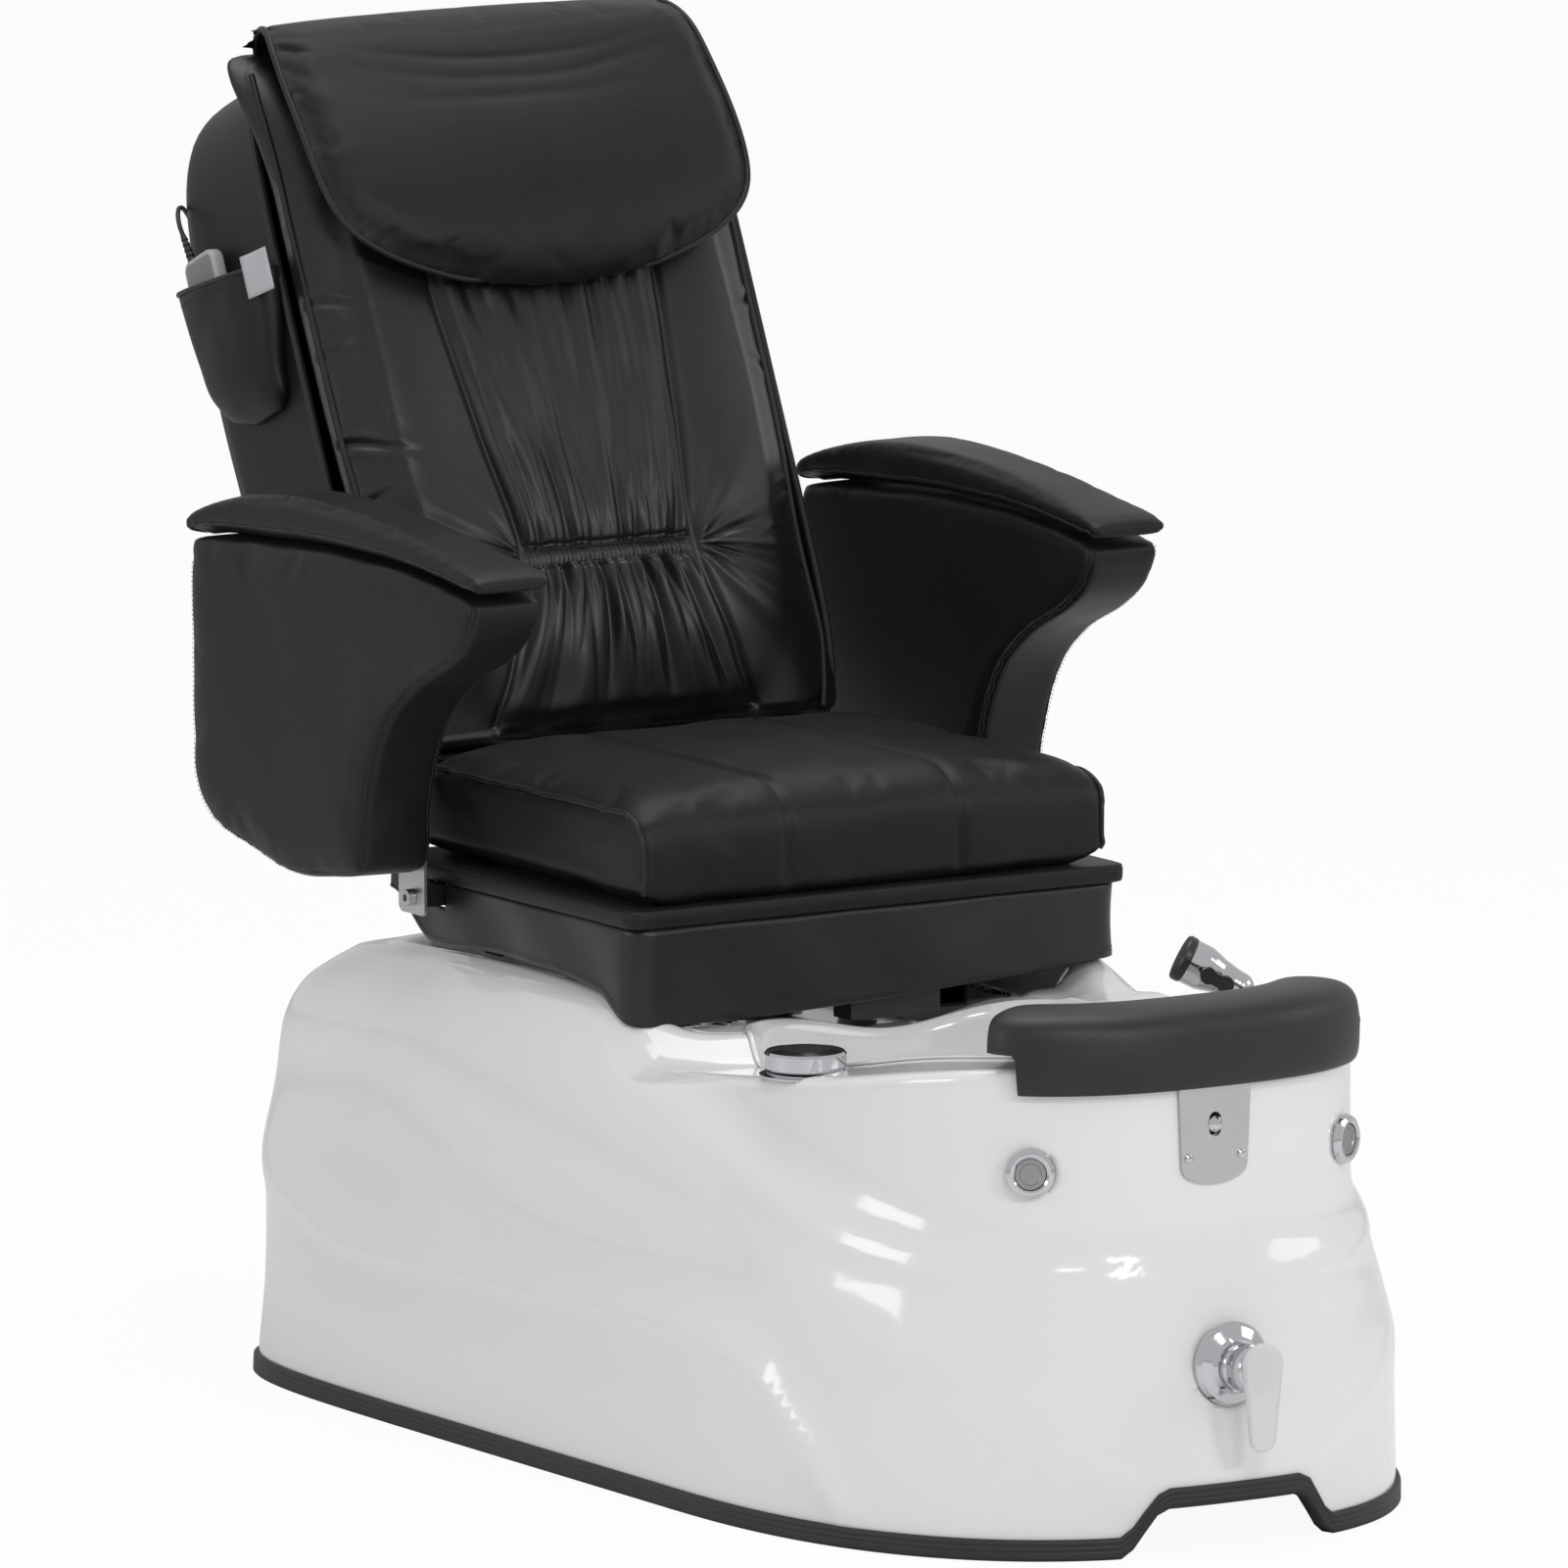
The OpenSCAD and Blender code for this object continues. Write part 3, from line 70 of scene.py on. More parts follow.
def smoothLoop(points, per=6, closed=True):
    p = np.array(points, float)
    n = len(p)
    out = []
    for i in range(n if closed else n - 1):
        a, b, c, d = (p[k % n] if closed else p[min(max(k, 0), n - 1)] for k in (i - 1, i, i + 1, i + 2))
        for k in range(per):
            t = k / per
            out.append(0.5 * (2 * b + (c - a) * t + (2 * a - 5 * b + 4 * c - d) * t**2
                              + (3 * b - a - 3 * c + d) * t**3))
    if not closed:
        out.append(p[-1])
    return np.array(out)


def evenLine(points, step, closed=False):
    p = np.array(points, float)
    if closed:
        p = np.vstack([p, p[:1]])
    run = np.concatenate([[0], np.cumsum(np.linalg.norm(np.diff(p, axis=0), axis=1))])
    count = max(2, int(round(run[-1] / step)))
    at = np.linspace(0, run[-1], count + 1)
    q = np.stack([np.interp(at, run, p[:, k]) for k in range(p.shape[1])], axis=1)
    return q[:-1] if closed else q


def squircle(a, b, n, count):
    t = 2 * np.pi * (np.arange(count) + 0.5) / count
    c, s = np.cos(t), np.sin(t)
    return np.stack([a * np.sign(c) * np.abs(c) ** (2 / n), b * np.sign(s) * np.abs(s) ** (2 / n)], axis=1)


def drawnIn(loop, d):
    v = np.roll(loop, -1, axis=0) - np.roll(loop, 1, axis=0)
    n = np.stack([v[:, 1], -v[:, 0]], axis=1) / np.maximum(np.linalg.norm(v, axis=1), 1e-6)[:, None]
    return loop + n * d


def wobble(x, y, seed, octaves=2):  # smooth noise from a few fixed waves, about -1 to 1
    rng = np.random.default_rng(seed)
    total = 0
    for k in range(5 * octaves):
        f = rng.normal(size=2) * (1 + 0.7 * (k // 5))
        total = total + np.sin(f[0] * x + f[1] * y + rng.uniform(0, 6.3)) / (1 + k // 5)
    return total / (2.6 * octaves**0.5)


lean = math.radians(chair["backLean"])


def fromBack(p):  # the back's own x, depth and height to the frame
    p = np.asarray(p, float)
    x, d, v = p[..., 0], p[..., 1], p[..., 2]
    f = chair["backFoot"]
    return np.stack([x, f[1] + d * math.cos(lean) + v * math.sin(lean) + chair["drawnAhead"],
                     f[2] - d * math.sin(lean) + v * math.cos(lean)], axis=-1)


def fromSeat(p):
    return np.asarray(p, float) + np.array([0, chair["drawnAhead"], 0])


def newPiece(name, verts, faces, finish, body, swap=(), slotName=None, smooth=True):
    mesh = bpy.data.meshes.new(name)
    mesh.from_pydata((np.asarray(verts, float) / 1000).tolist(), [], faces)
    obj = bpy.data.objects.new(name, mesh)
    bpy.context.scene.collection.objects.link(obj)
    bm = bmesh.new()
    bm.from_mesh(mesh)
    bmesh.ops.remove_doubles(bm, verts=bm.verts, dist=1e-6)
    bmesh.ops.recalc_face_normals(bm, faces=bm.faces)
    bm.to_mesh(mesh)
    bm.free()
    for p in mesh.polygons:
        p.use_smooth = smooth
    if finish:
        mesh.materials.append(finishes[finish])
    place(obj, body, swap)
    return obj


def place(obj, body, swap=()):
    if body:
        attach(obj, body)
    if swap:
        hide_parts(*swap)


def gridFaces(rows, cols, wrapRows=False, wrapCols=True):
    faces = []
    for i in range(rows if wrapRows else rows - 1):
        for j in range(cols if wrapCols else cols - 1):
            a, b = i * cols + j, i * cols + (j + 1) % cols
            c, d = (i + 1) % rows * cols + j, (i + 1) % rows * cols + (j + 1) % cols
            faces.append((a, b, d, c))
    return faces


def skin(loops):  # loops of equal length, closed by a fan at each end
    loops = np.asarray(loops, float)
    rows, cols = loops.shape[:2]
    verts = np.vstack([loops.reshape(-1, 3), loops[0].mean(axis=0), loops[-1].mean(axis=0)])
    faces = gridFaces(rows, cols)
    hub, last = rows * cols, (rows - 1) * cols
    for j in range(cols):
        k = (j + 1) % cols
        faces += [(k, j, hub), (last + j, last + k, hub + 1)]
    return verts, faces


def endCapped(rows, cols):  # the faces of a tube of loops with one flat face at each end
    return gridFaces(rows, cols) + [tuple(range(cols - 1, -1, -1)),
                                    tuple(range((rows - 1) * cols, rows * cols))]


def prism(profile, xs, insets):  # an outline carried across, drawn in at its two ends
    loops = [np.column_stack([np.full(len(profile), x), drawnIn(profile, -d)]) for x, d in zip(xs, insets)]
    return np.vstack(loops), endCapped(len(xs), len(profile))


def activate(obj):
    bpy.ops.object.select_all(action="DESELECT")
    obj.select_set(True)
    bpy.context.view_layer.objects.active = obj


def applied(obj):  # the evaluated mesh takes the place of the modifiers
    mesh = bpy.data.meshes.new_from_object(obj.evaluated_get(bpy.context.evaluated_depsgraph_get()))
    old = obj.data
    obj.modifiers.clear()
    obj.data = mesh
    if old.materials and not mesh.materials:
        mesh.materials.append(old.materials[0])
    bpy.data.meshes.remove(old)
    for p in obj.data.polygons:
        p.use_smooth = True


def coords(obj):
    flat = np.empty(len(obj.data.vertices) * 3)
    obj.data.vertices.foreach_get("co", flat)
    return flat.reshape(-1, 3) * 1000


def setCoords(obj, c):
    obj.data.vertices.foreach_set("co", (np.asarray(c) / 1000).ravel())
    obj.data.update()


def normalsOf(obj):
    flat = np.empty(len(obj.data.vertices) * 3)
    obj.data.vertices.foreach_get("normal", flat)
    return flat.reshape(-1, 3)


def airFilled(obj, cap, pressure=4, frames=20):  # blown up as cloth, each point held to the cap
    start = coords(obj)
    activate(obj)
    cloth = obj.modifiers.new("cloth", "CLOTH")
    s = cloth.settings
    s.use_pressure, s.uniform_pressure_force = True, pressure
    s.quality, s.mass = 5, 0.3
    s.tension_stiffness = s.compression_stiffness = 15
    s.bending_stiffness = 0.6
    s.effector_weights.gravity = 0
    cloth.point_cache.frame_start, cloth.point_cache.frame_end = 1, frames
    for f in range(1, frames + 1):
        bpy.context.scene.frame_set(f)
    done = obj.evaluated_get(bpy.context.evaluated_depsgraph_get()).to_mesh()
    flat = np.empty(len(done.vertices) * 3)
    done.vertices.foreach_get("co", flat)
    moved = flat.reshape(-1, 3) * 1000 - start
    obj.modifiers.clear()
    bpy.context.scene.frame_set(1)
    limit = cap(start) if callable(cap) else cap
    far = np.maximum(np.linalg.norm(moved, axis=1), 1e-6)
    setCoords(obj, start + moved * np.minimum(1, limit / far)[:, None])


def subdivided(obj):
    sub = obj.modifiers.new("subdivide", "SUBSURF")
    sub.levels = sub.render_levels = 1
    applied(obj)


def puffUp(obj, voxel, cap):  # one even mesh, air under the cover, and one subdivision
    re = obj.modifiers.new("remesh", "REMESH")
    re.mode, re.voxel_size = "VOXEL", voxel / 1000
    applied(obj)
    airFilled(obj, cap)
    subdivided(obj)
    print("puffed up", obj.name, len(obj.data.polygons))


def surfaceTree(obj):
    mesh = obj.data
    return BVHTree.FromPolygons([v.co for v in mesh.vertices], [p.vertices for p in mesh.polygons])


def laidOn(tree, line, lift=0.0):  # a line of points dropped on a surface, lifted a little
    out = []
    for p in np.asarray(line, float) / 1000:
        hit, normal, _, _ = tree.find_nearest(Vector(p))
        out.append(np.array(hit + normal * lift / 1000) * 1000)
    return np.array(out)


def slidingWindows(values, half):
    return np.lib.stride_tricks.sliding_window_view(np.pad(values, half, mode="edge"), 2 * half + 1)


def edgeOf(tree, points, outwards, lift=0.0, start=60.0, calm=0):
    # A surface met from outside, point by point
    points, outwards = np.asarray(points, float), np.asarray(outwards, float)
    outwards = outwards / np.maximum(np.linalg.norm(outwards, axis=1), 1e-9)[:, None]
    reach = np.full(len(points), np.nan)
    for i, (p, o) in enumerate(zip(points, outwards)):
        hit = tree.ray_cast(Vector((p + o * start) / 1000), Vector(-o), 2 * start / 1000)
        if hit[0]:
            reach[i] = start - hit[3] * 1000
    met = np.flatnonzero(~np.isnan(reach))
    reach = np.interp(np.arange(len(reach)), met, reach[met])
    if calm:
        middle = np.median(slidingWindows(reach, calm), axis=1)
        reach = slidingWindows(middle, calm).mean(axis=1)
    return points + outwards * (reach + lift)[:, None]


def settled(line, rounds=3):
    line = np.array(line, float)
    for k in range(rounds):
        soft = (np.roll(line, 1, axis=0) + 2 * line + np.roll(line, -1, axis=0)) / 4
        soft[0], soft[-1] = line[0], line[-1]
        line = soft
    return line


def drawSeam(obj, lines, depth, width):  # a sewn line pulls the cover in
    spots = np.vstack(lines)
    tree = KDTree(len(spots))
    for i, p in enumerate(spots / 1000):
        tree.insert(p, i)
    tree.balance()
    c, n = coords(obj), normalsOf(obj)
    far = np.array([tree.find(p)[2] for p in c / 1000]) * 1000
    setCoords(obj, c - n * (depth * bell(far / width))[:, None])


def pipedAlong(name, lines, radius, body, closed=False):  # a round welt along each line
    data = bpy.data.curves.new(name, "CURVE")
    data.dimensions, data.bevel_depth, data.bevel_resolution = "3D", radius / 1000, 3
    data.use_fill_caps = True
    for line in lines:
        s = data.splines.new("POLY")
        s.points.add(len(line) - 1)
        s.points.foreach_set("co", np.column_stack([np.asarray(line) / 1000, np.ones(len(line))]).ravel())
        s.use_cyclic_u = closed
    src = bpy.data.objects.new(name + "Line", data)
    bpy.context.scene.collection.objects.link(src)
    mesh = bpy.data.meshes.new_from_object(src.evaluated_get(bpy.context.evaluated_depsgraph_get()))
    bpy.data.objects.remove(src)
    obj = bpy.data.objects.new(name, mesh)
    mesh.materials.clear()
    mesh.materials.append(finishes["welt"])
    bpy.context.scene.collection.objects.link(obj)
    for p in mesh.polygons:
        p.use_smooth = True
    place(obj, body, ())


class Wire:  # a shader socket that takes part in sums
    def __init__(self, tree, socket):
        self.tree, self.socket = tree, socket

    def join(self, operation, a, b):
        n = self.tree.nodes.new("ShaderNodeMath")
        n.operation = operation
        for slot, value in zip(n.inputs, (a, b)):
            if isinstance(value, Wire):
                self.tree.links.new(value.socket, slot)
            else:
                slot.default_value = value
        return Wire(self.tree, n.outputs[0])

    def __add__(self, o): return self.join("ADD", self, o)
    def __radd__(self, o): return self.join("ADD", o, self)
    def __sub__(self, o): return self.join("SUBTRACT", self, o)
    def __rsub__(self, o): return self.join("SUBTRACT", o, self)
    def __mul__(self, o): return self.join("MULTIPLY", self, o)
    def __rmul__(self, o): return self.join("MULTIPLY", o, self)


def joined(tree, kind, wires, **settings):  # a node with its settings, and its inputs linked or set
    n = tree.nodes.new(kind)
    for key, value in settings.items():
        setattr(n, key, value)
    for key, value in wires.items():
        value = value.socket if isinstance(value, Wire) else value
        if isinstance(value, bpy.types.NodeSocket):
            tree.links.new(value, n.inputs[key])
        else:
            n.inputs[key].default_value = value
    return n.outputs


class Finish:  # one Principled material and the nodes behind it
    def __init__(self, name, **constants):
        self.material = bpy.data.materials.new(name)
        self.material.use_nodes = True
        self.tree = self.material.node_tree
        self.shader = self.tree.nodes["Principled BSDF"]
        for key, value in constants.items():
            self.shader.inputs[key.replace("_", " ")].default_value = value
        self.spot = self.node("ShaderNodeTexCoord", out="Object")

    def node(self, kind, wires=None, out=0, **settings):
        return Wire(self.tree, joined(self.tree, kind, wires or {}, **settings)[out])

    def noise(self, scale, detail=3.0, rough=0.5, stretch=None):
        spot = self.spot
        if stretch:
            spot = self.node("ShaderNodeMapping", {"Vector": self.spot, "Scale": stretch})
        return self.node("ShaderNodeTexNoise", {"Vector": spot, "Scale": scale, "Detail": detail,
                                                "Roughness": rough}, "Fac")

    def tint(self, factor, low, high):
        ramp = self.tree.nodes.new("ShaderNodeValToRGB")
        for stop, at, colour in zip(ramp.color_ramp.elements, (0.25, 0.75), (low, high)):
            stop.position, stop.color = at, (*colour, 1)
        self.tree.links.new(factor.socket, ramp.inputs["Fac"])
        self.tree.links.new(ramp.outputs["Color"], self.shader.inputs["Base Color"])

    def to(self, socket, wire):
        self.tree.links.new(wire.socket, self.shader.inputs[socket])

    def bump(self, height, strength, distance):
        self.to("Normal", self.node("ShaderNodeBump", {"Height": height, "Strength": strength,
                                                       "Distance": distance}, "Normal"))


def leatherFinish(name, low, high, grain=1.0, rough=(0.4, 0.52), gloss=0.3):
    f = Finish(name, Specular_IOR_Level=gloss, Sheen_Weight=0.01, Sheen_Roughness=0.4)
    cloud = f.noise(9, 4)
    pores = f.node("ShaderNodeTexVoronoi", {"Vector": f.spot, "Scale": 620.0}, "Distance",
                   feature="DISTANCE_TO_EDGE")
    fine = f.noise(1500, 2)
    creases = f.noise(70, 5, 0.6)
    f.tint(cloud * 0.75 + fine * 0.25, low, high)
    f.to("Roughness", cloud * (rough[1] - rough[0]) + (rough[0] - 0.03) + fine * 0.06)
    f.bump(pores * 0.7 + fine * 0.25 + creases * 0.5, 0.28 * grain, 0.0009)
    return f.material


def metalFinish(name, colour, rough, brushed=0.0):
    f = Finish(name, Metallic=1.0)
    smear = f.noise(35, 4)
    lines = f.noise(240, 3, 0.6, (1.0, 1.0, 12.0)) if brushed else f.noise(900, 2)
    f.tint(smear * 0.5 + lines * 0.5, tuple(c * 0.93 for c in colour), colour)
    f.to("Roughness", smear * 0.04 + lines * (0.12 * brushed + 0.02) + rough)
    f.bump(lines, 0.05 + 0.2 * brushed, 0.00015)
    return f.material


def plasticFinish(name, low, high, rough, grain=0.1, grainScale=900.0, **constants):
    f = Finish(name, **constants)
    cloud, fine = f.noise(14, 3), f.noise(grainScale, 3)
    f.tint(cloud * 0.6 + fine * 0.4, low, high)
    f.to("Roughness", cloud * 0.07 + fine * 0.04 + (rough - 0.05))
    f.bump(fine, grain, 0.0006)
    return f.material


def gelCoatFinish():  # polished gel coat: near-white, faint waviness, tiny specks of dust in the gloss
    f = Finish("gelCoat", Specular_IOR_Level=0.5, Coat_Roughness=0.03, Coat_IOR=1.5)
    broad, peel, speck = f.noise(3, 2), f.noise(120, 2), f.noise(2400, 1)
    f.tint(broad * 0.8 + speck * 0.2, (0.775, 0.778, 0.775), (0.81, 0.812, 0.81))
    f.to("Roughness", broad * 0.03 + peel * 0.03 + 0.1)
    f.to("Coat Weight", 0.55 - broad * 0.1)
    f.bump(peel, 0.035, 0.0006)
    return f.material


finishes = {
    "leather": leatherFinish("blackVinyl", (0.0078, 0.0078, 0.0083), (0.0115, 0.0115, 0.0122),
                             1.0, (0.36, 0.48), 0.22),
    "leatherSoft": leatherFinish("blackVinylGathered", (0.0068, 0.0068, 0.0073), (0.0100, 0.0100, 0.0107),
                                 0.9, (0.28, 0.38), 0.44),
    "welt": leatherFinish("weltVinyl", (0.010, 0.010, 0.011), (0.015, 0.015, 0.016), 0.8, (0.4, 0.48)),
    "thread": plasticFinish("thread", (0.021, 0.021, 0.022), (0.03, 0.03, 0.031), 0.55, 0.3, 3000.0),
    "foamSkin": plasticFinish("foamSkin", (0.015, 0.015, 0.016), (0.023, 0.023, 0.024), 0.42, 0.32, 700.0,
                              Specular_IOR_Level=0.35),
    "rubber": plasticFinish("floorRubber", (0.012, 0.012, 0.012), (0.021, 0.021, 0.021), 0.55, 0.3, 500.0),
    "plasticBlack": plasticFinish("blackPlastic", (0.011, 0.011, 0.012), (0.018, 0.018, 0.019), 0.35, 0.12),
    "plasticGrey": plasticFinish("greyPlastic", (0.36, 0.365, 0.37), (0.43, 0.435, 0.44), 0.38, 0.1),
    "plasticDark": plasticFinish("greyFace", (0.17, 0.172, 0.178), (0.22, 0.222, 0.228), 0.3, 0.06),
    "tag": plasticFinish("tagCloth", (0.40, 0.41, 0.43), (0.49, 0.50, 0.52), 0.75, 0.5, 1600.0),
    "frosted": plasticFinish("frostedPlastic", (0.78, 0.79, 0.80), (0.84, 0.85, 0.86), 0.3, 0.06,
                             Transmission_Weight=0.3, IOR=1.3),
    "gelCoat": gelCoatFinish(),
    "chrome": metalFinish("chrome", (0.60, 0.61, 0.63), 0.03),
    "satinSteel": metalFinish("satinSteel", (0.56, 0.565, 0.575), 0.24, 1.0),
    "greySteel": metalFinish("greySteel", (0.34, 0.345, 0.35), 0.3, 1.0),
    "darkSteel": metalFinish("powderCoat", (0.05, 0.05, 0.055), 0.4, 0.3),
    "brass": metalFinish("brass", (0.72, 0.52, 0.24), 0.25, 0.4),
    "tan": plasticFinish("rollerPlastic", (0.56, 0.42, 0.26), (0.63, 0.48, 0.31), 0.4),
}

nodeFinish = {
    "chrome": ["drain_strainer", "drain_escutcheon", "bracket_fasteners", "button_bezels", "rim_knob",
               "knob_flange", "shower_socket", "hand_shower"],
    "greySteel": ["air_button_left", "air_button_right"],
    "satinSteel": ["footrest_bracket", "arm_lug_left", "arm_lug_right", "arm_pivot_bolts", "recline_pins",
                   "recline_rod", "seat_runners", "slide_rod", "massage_rails", "kneading_shaft"],
    "darkSteel": ["base_frame", "seat_rails", "seat_frame", "arm_stubs", "back_frame"],
    "plasticBlack": ["spray_face", "shower_toggle", "jet_motor", "slide_actuator", "rod_clevis",
                     "recline_actuator", "button_bellows"],
    "plasticGrey": ["drain_valve", "jet_cover", "power_box", "massage_carriage"],
    "rubber": ["levelling_feet", "handset_relief", "cord_gland"],
    "brass": ["mixer_valve"],
    "tan": ["kneading_rollers"],
}
for key, names in nodeFinish.items():
    for name in names:
        nodes[name].data.materials.clear()
        nodes[name].data.materials.append(finishes[key])
print("finishes made")

camera = {"turn": 32.4, "rise": 8.87, "away": 18.605, "lens": 449.7, "lookAt": (0, 0.0549, 0.611)}
turn, rise = math.radians(camera["turn"]), math.radians(camera["rise"])
awayFrom = Vector((-math.sin(turn) * math.cos(rise), -math.cos(turn) * math.cos(rise), math.sin(rise)))
camData = bpy.data.cameras.new("studioCamera")
camData.lens, camData.sensor_width = camera["lens"], 36
camData.clip_end = 100
cam = bpy.data.objects.new("studioCamera", camData)
cam.location = Vector(camera["lookAt"]) + awayFrom * camera["away"]
cam.rotation_mode = "QUATERNION"
cam.rotation_quaternion = (-awayFrom).to_track_quat("-Z", "Y")
bpy.context.scene.collection.objects.link(cam)
bpy.context.scene.camera = cam

handsetCord = {"diameter": 4.6, "handset": (-276, 131, 400), "shoulder": (0, 17, 128), "handsetR": 12,
               "route": [(0, 18, 24), (0, 24, 32), (4, 34, 41), (13, 47, 46), (26, 60, 43), (41, 69, 27),
                         (54, 69, -2), (66, 64, -40), (80, 64, -85), (98, 64, -130), (122, 64, -166),
                         (152, 64, -184), (184, 64, -182), (214, 64, -164), (242, 65, -138), (266, 66, -110),
                         (282, 65, -89), (289, 59, -76), (290, 51, -71), (290, 40, -66)]}
reliefAt = fromBack(np.add(handsetCord["handset"], handsetCord["shoulder"])) \
    + np.array([0, 0.6, 0.8]) * (handsetCord["handsetR"] + 0.05)
cordLine = smoothLoop(handsetCord["route"], 3, closed=False) + reliefAt
cordData = bpy.data.curves.new("handsetCord", "CURVE")
cordData.dimensions, cordData.bevel_depth, cordData.bevel_resolution = "3D", handsetCord["diameter"] / 2000, 4
cordData.use_fill_caps = True
spline = cordData.splines.new("POLY")
spline.points.add(len(cordLine) - 1)
spline.points.foreach_set("co", np.column_stack([cordLine / 1000, np.ones(len(cordLine))]).ravel())
cord = bpy.data.objects.new("handsetCord", cordData)
bpy.context.scene.collection.objects.link(cord)
cordData.materials.append(finishes["rubber"])
place(cord, "backrest", ["handset_cord"])
tuple(cordLine[0] / 1000)
handsetCord["diameter"] / 1000

# Moulded base: lines are half width, rear and front reach, and the two powers of their curves
base = {"foot": (334, 443, 850, 2.5, 9), "rim": (272, 407, 740, 2.8, 6), "mouth": (192, 358, 186, 3.2, 3),
        "middle": -330, "stations": 300, "wallRows": 44, "wall": 6, "deckZ": 392, "ledgeT": 9, "rimRound": 9,
        "archLift": 44, "basinFloor": 188, "waste": (0, -430), "saddle": 25}
heights = {
    "rim": [[-740, 456], [-680, 450], [-600, 440], [-500, 424], [-390, 409], [-260, 396], [-200, 394],
            [-130, 438], [-50, 450], [130, 451], [300, 441], [410, 427]],
    "shoulder": [[-745, 258], [-655, 280], [-590, 297], [-387, 334], [-237, 366], [-98, 396], [45, 413],
                 [254, 403], [341, 392], [520, 386]],
    "ridge": [[-600, -10], [-570, 40], [-554, 68], [-508, 104], [-473, 136], [-403, 160], [-322, 171],
              [-200, 172], [-85, 166], [130, 158], [292, 158], [416, 195], [520, 240]],
    "valley": [[-420, 222], [-196, 226], [-57, 236], [87, 269], [234, 307], [447, 305]],
    "lip": [[-773, 70], [-740, 112], [-656, 165]],
    "crest": [[-773, 254], [-742, 257], [-669, 266], [-522, 289], [-354, 337], [-250, 364], [-175, 384]]}
leans = {
    "bowl": [[0, 0], [0.25, 0.02], [0.5, 0.1], [0.75, 0.34], [0.9, 0.6], [1, 0.78], [1.07, 0.92], [1.16, 0.98],
             [2, 1]],
    "hump": [[0, 0], [0.25, 0.1], [0.5, 0.14], [0.75, 0.22], [0.9, 0.36], [1, 0.56], [1.05, 0.74],
             [1.1, 0.92], [1.16, 1]],
    "heel": [[0, 0], [0.25, 0.06], [0.5, 0.08], [0.75, 0.12], [0.9, 0.2], [1, 0.38], [1.05, 0.58],
             [1.1, 0.82], [1.16, 1]]}
footLine, rimLine, mouthLine = (np.array(base[k], float) for k in ("foot", "rim", "mouth"))


def halves(t, o):
    toe = np.sin(t) < 0
    return np.where(toe, o[..., 1], o[..., 2]), np.where(toe, o[..., 3], o[..., 4])


def atAngle(t, o):
    b, n = halves(t, o)
    r = (np.abs(np.cos(t) / o[..., 0]) ** n + np.abs(np.sin(t) / b) ** n) ** (-1 / n)
    return np.stack([r * np.cos(t), base["middle"] + r * np.sin(t)], axis=-1)


def outward(t, o):
    b, n = halves(t, o)
    p = atAngle(t, o) - np.array([0, base["middle"]])
    g = np.stack([np.sign(p[:, 0]) * np.abs(p[:, 0] / o[..., 0]) ** (n - 1) / o[..., 0],
                  np.sign(p[:, 1]) * np.abs(p[:, 1] / b) ** (n - 1) / b], axis=1)
    return g / np.linalg.norm(g, axis=1)[:, None]


walk = np.radians(np.linspace(-90, 270, 2881))
girth = np.concatenate([[0], np.cumsum(np.linalg.norm(np.diff(atAngle(walk, footLine), axis=0), axis=1))])
stations = np.interp(np.arange(base["stations"]) / base["stations"] * girth[-1], girth, walk)
footAt, rimAt, mouthAt = (atAngle(stations, o) for o in (footLine, rimLine, mouthLine))
rimOut, footOut = outward(stations, rimLine), outward(stations, footLine)


def leanAt(y, q):
    front = mix(sheer(leans["hump"], q), sheer(leans["bowl"], q), 1 - ease((y + 600) / 420))
    return mix(front, sheer(leans["heel"], q), ease((y - 300) / 160))


def swell(y, z):  # the wall's raised and hollow forms along its sides and toe
    def near(line, width):
        return bell((z - sheer(heights[line], y)) / width)

    sides = (9 * near("ridge", 38) + 3 * near("ridge", 18)) * ease((y + 640) / 60) \
        - 11 * near("valley", 52) * ease((y + 520) / 160)
    return ((1 - 0.75 * ease((y - 420) / 90)) * sides + 4.5 * near("crest", 17) * ease((-250 - y) / 200)
            + 6 * near("lip", 34) * (1 - ease((y + 690) / 110)))


def onWall(z, push):  # the inner face leaves the raised forms to the outer one
    y = footAt[:, 1]
    share = leanAt(y, z / sheer(heights["shoulder"], y))
    o = footLine + (rimLine - footLine) * share[:, None]
    form = swell(y, z) * ease(z / 60)
    form = np.where(push < 0, np.minimum(form, 0), form)
    return np.column_stack([atAngle(stations, o) + footOut * (push + form)[:, None], z])


ones = np.ones(base["stations"])
arch = np.where(footAt[:, 1] > base["middle"], 0, base["archLift"] * ease((118 - np.abs(footAt[:, 0])) / 46))
footZ = arch + 3.2
rimTop = sheer(heights["rim"], rimAt[:, 1]) \
    + 28 * ease(rimAt[:, 0] / 60) * bell((rimAt[:, 1] + 232) / 78)
across = np.linalg.norm(rimAt - mouthAt, axis=1)


def ledge(k, drop=0.0):  # k runs from 0 by the rim to 4 at the basin's mouth
    share = np.minimum(np.interp(k, range(5), [0.15, 0.35, 0.6, 0.85, 1]),
                       np.interp(k, range(5), [14, 34, 60, 120, 600]) / across)
    inset = share * across
    rear = ease((rimAt[:, 1] + 230) / 90)
    spot = mix(rimAt, mouthAt, share[:, None])
    saddle = base["saddle"] * ease((-spot[:, 1] - 117) / 24) * (1 - bell((spot[:, 0] - 30) / 66) ** 0.5)
    deck = base["deckZ"] + saddle
    z = rimTop - rear * (rimTop - deck) * ease((inset - 18) / 60) - 3 * ease((share - 0.97) / 0.03)
    return np.column_stack([spot, z - drop])


def allRound(ring):  # stations by points round one closed section
    return fromSeat(ring.reshape(-1, 3)), gridFaces(base["stations"], ring.shape[1], wrapRows=True)


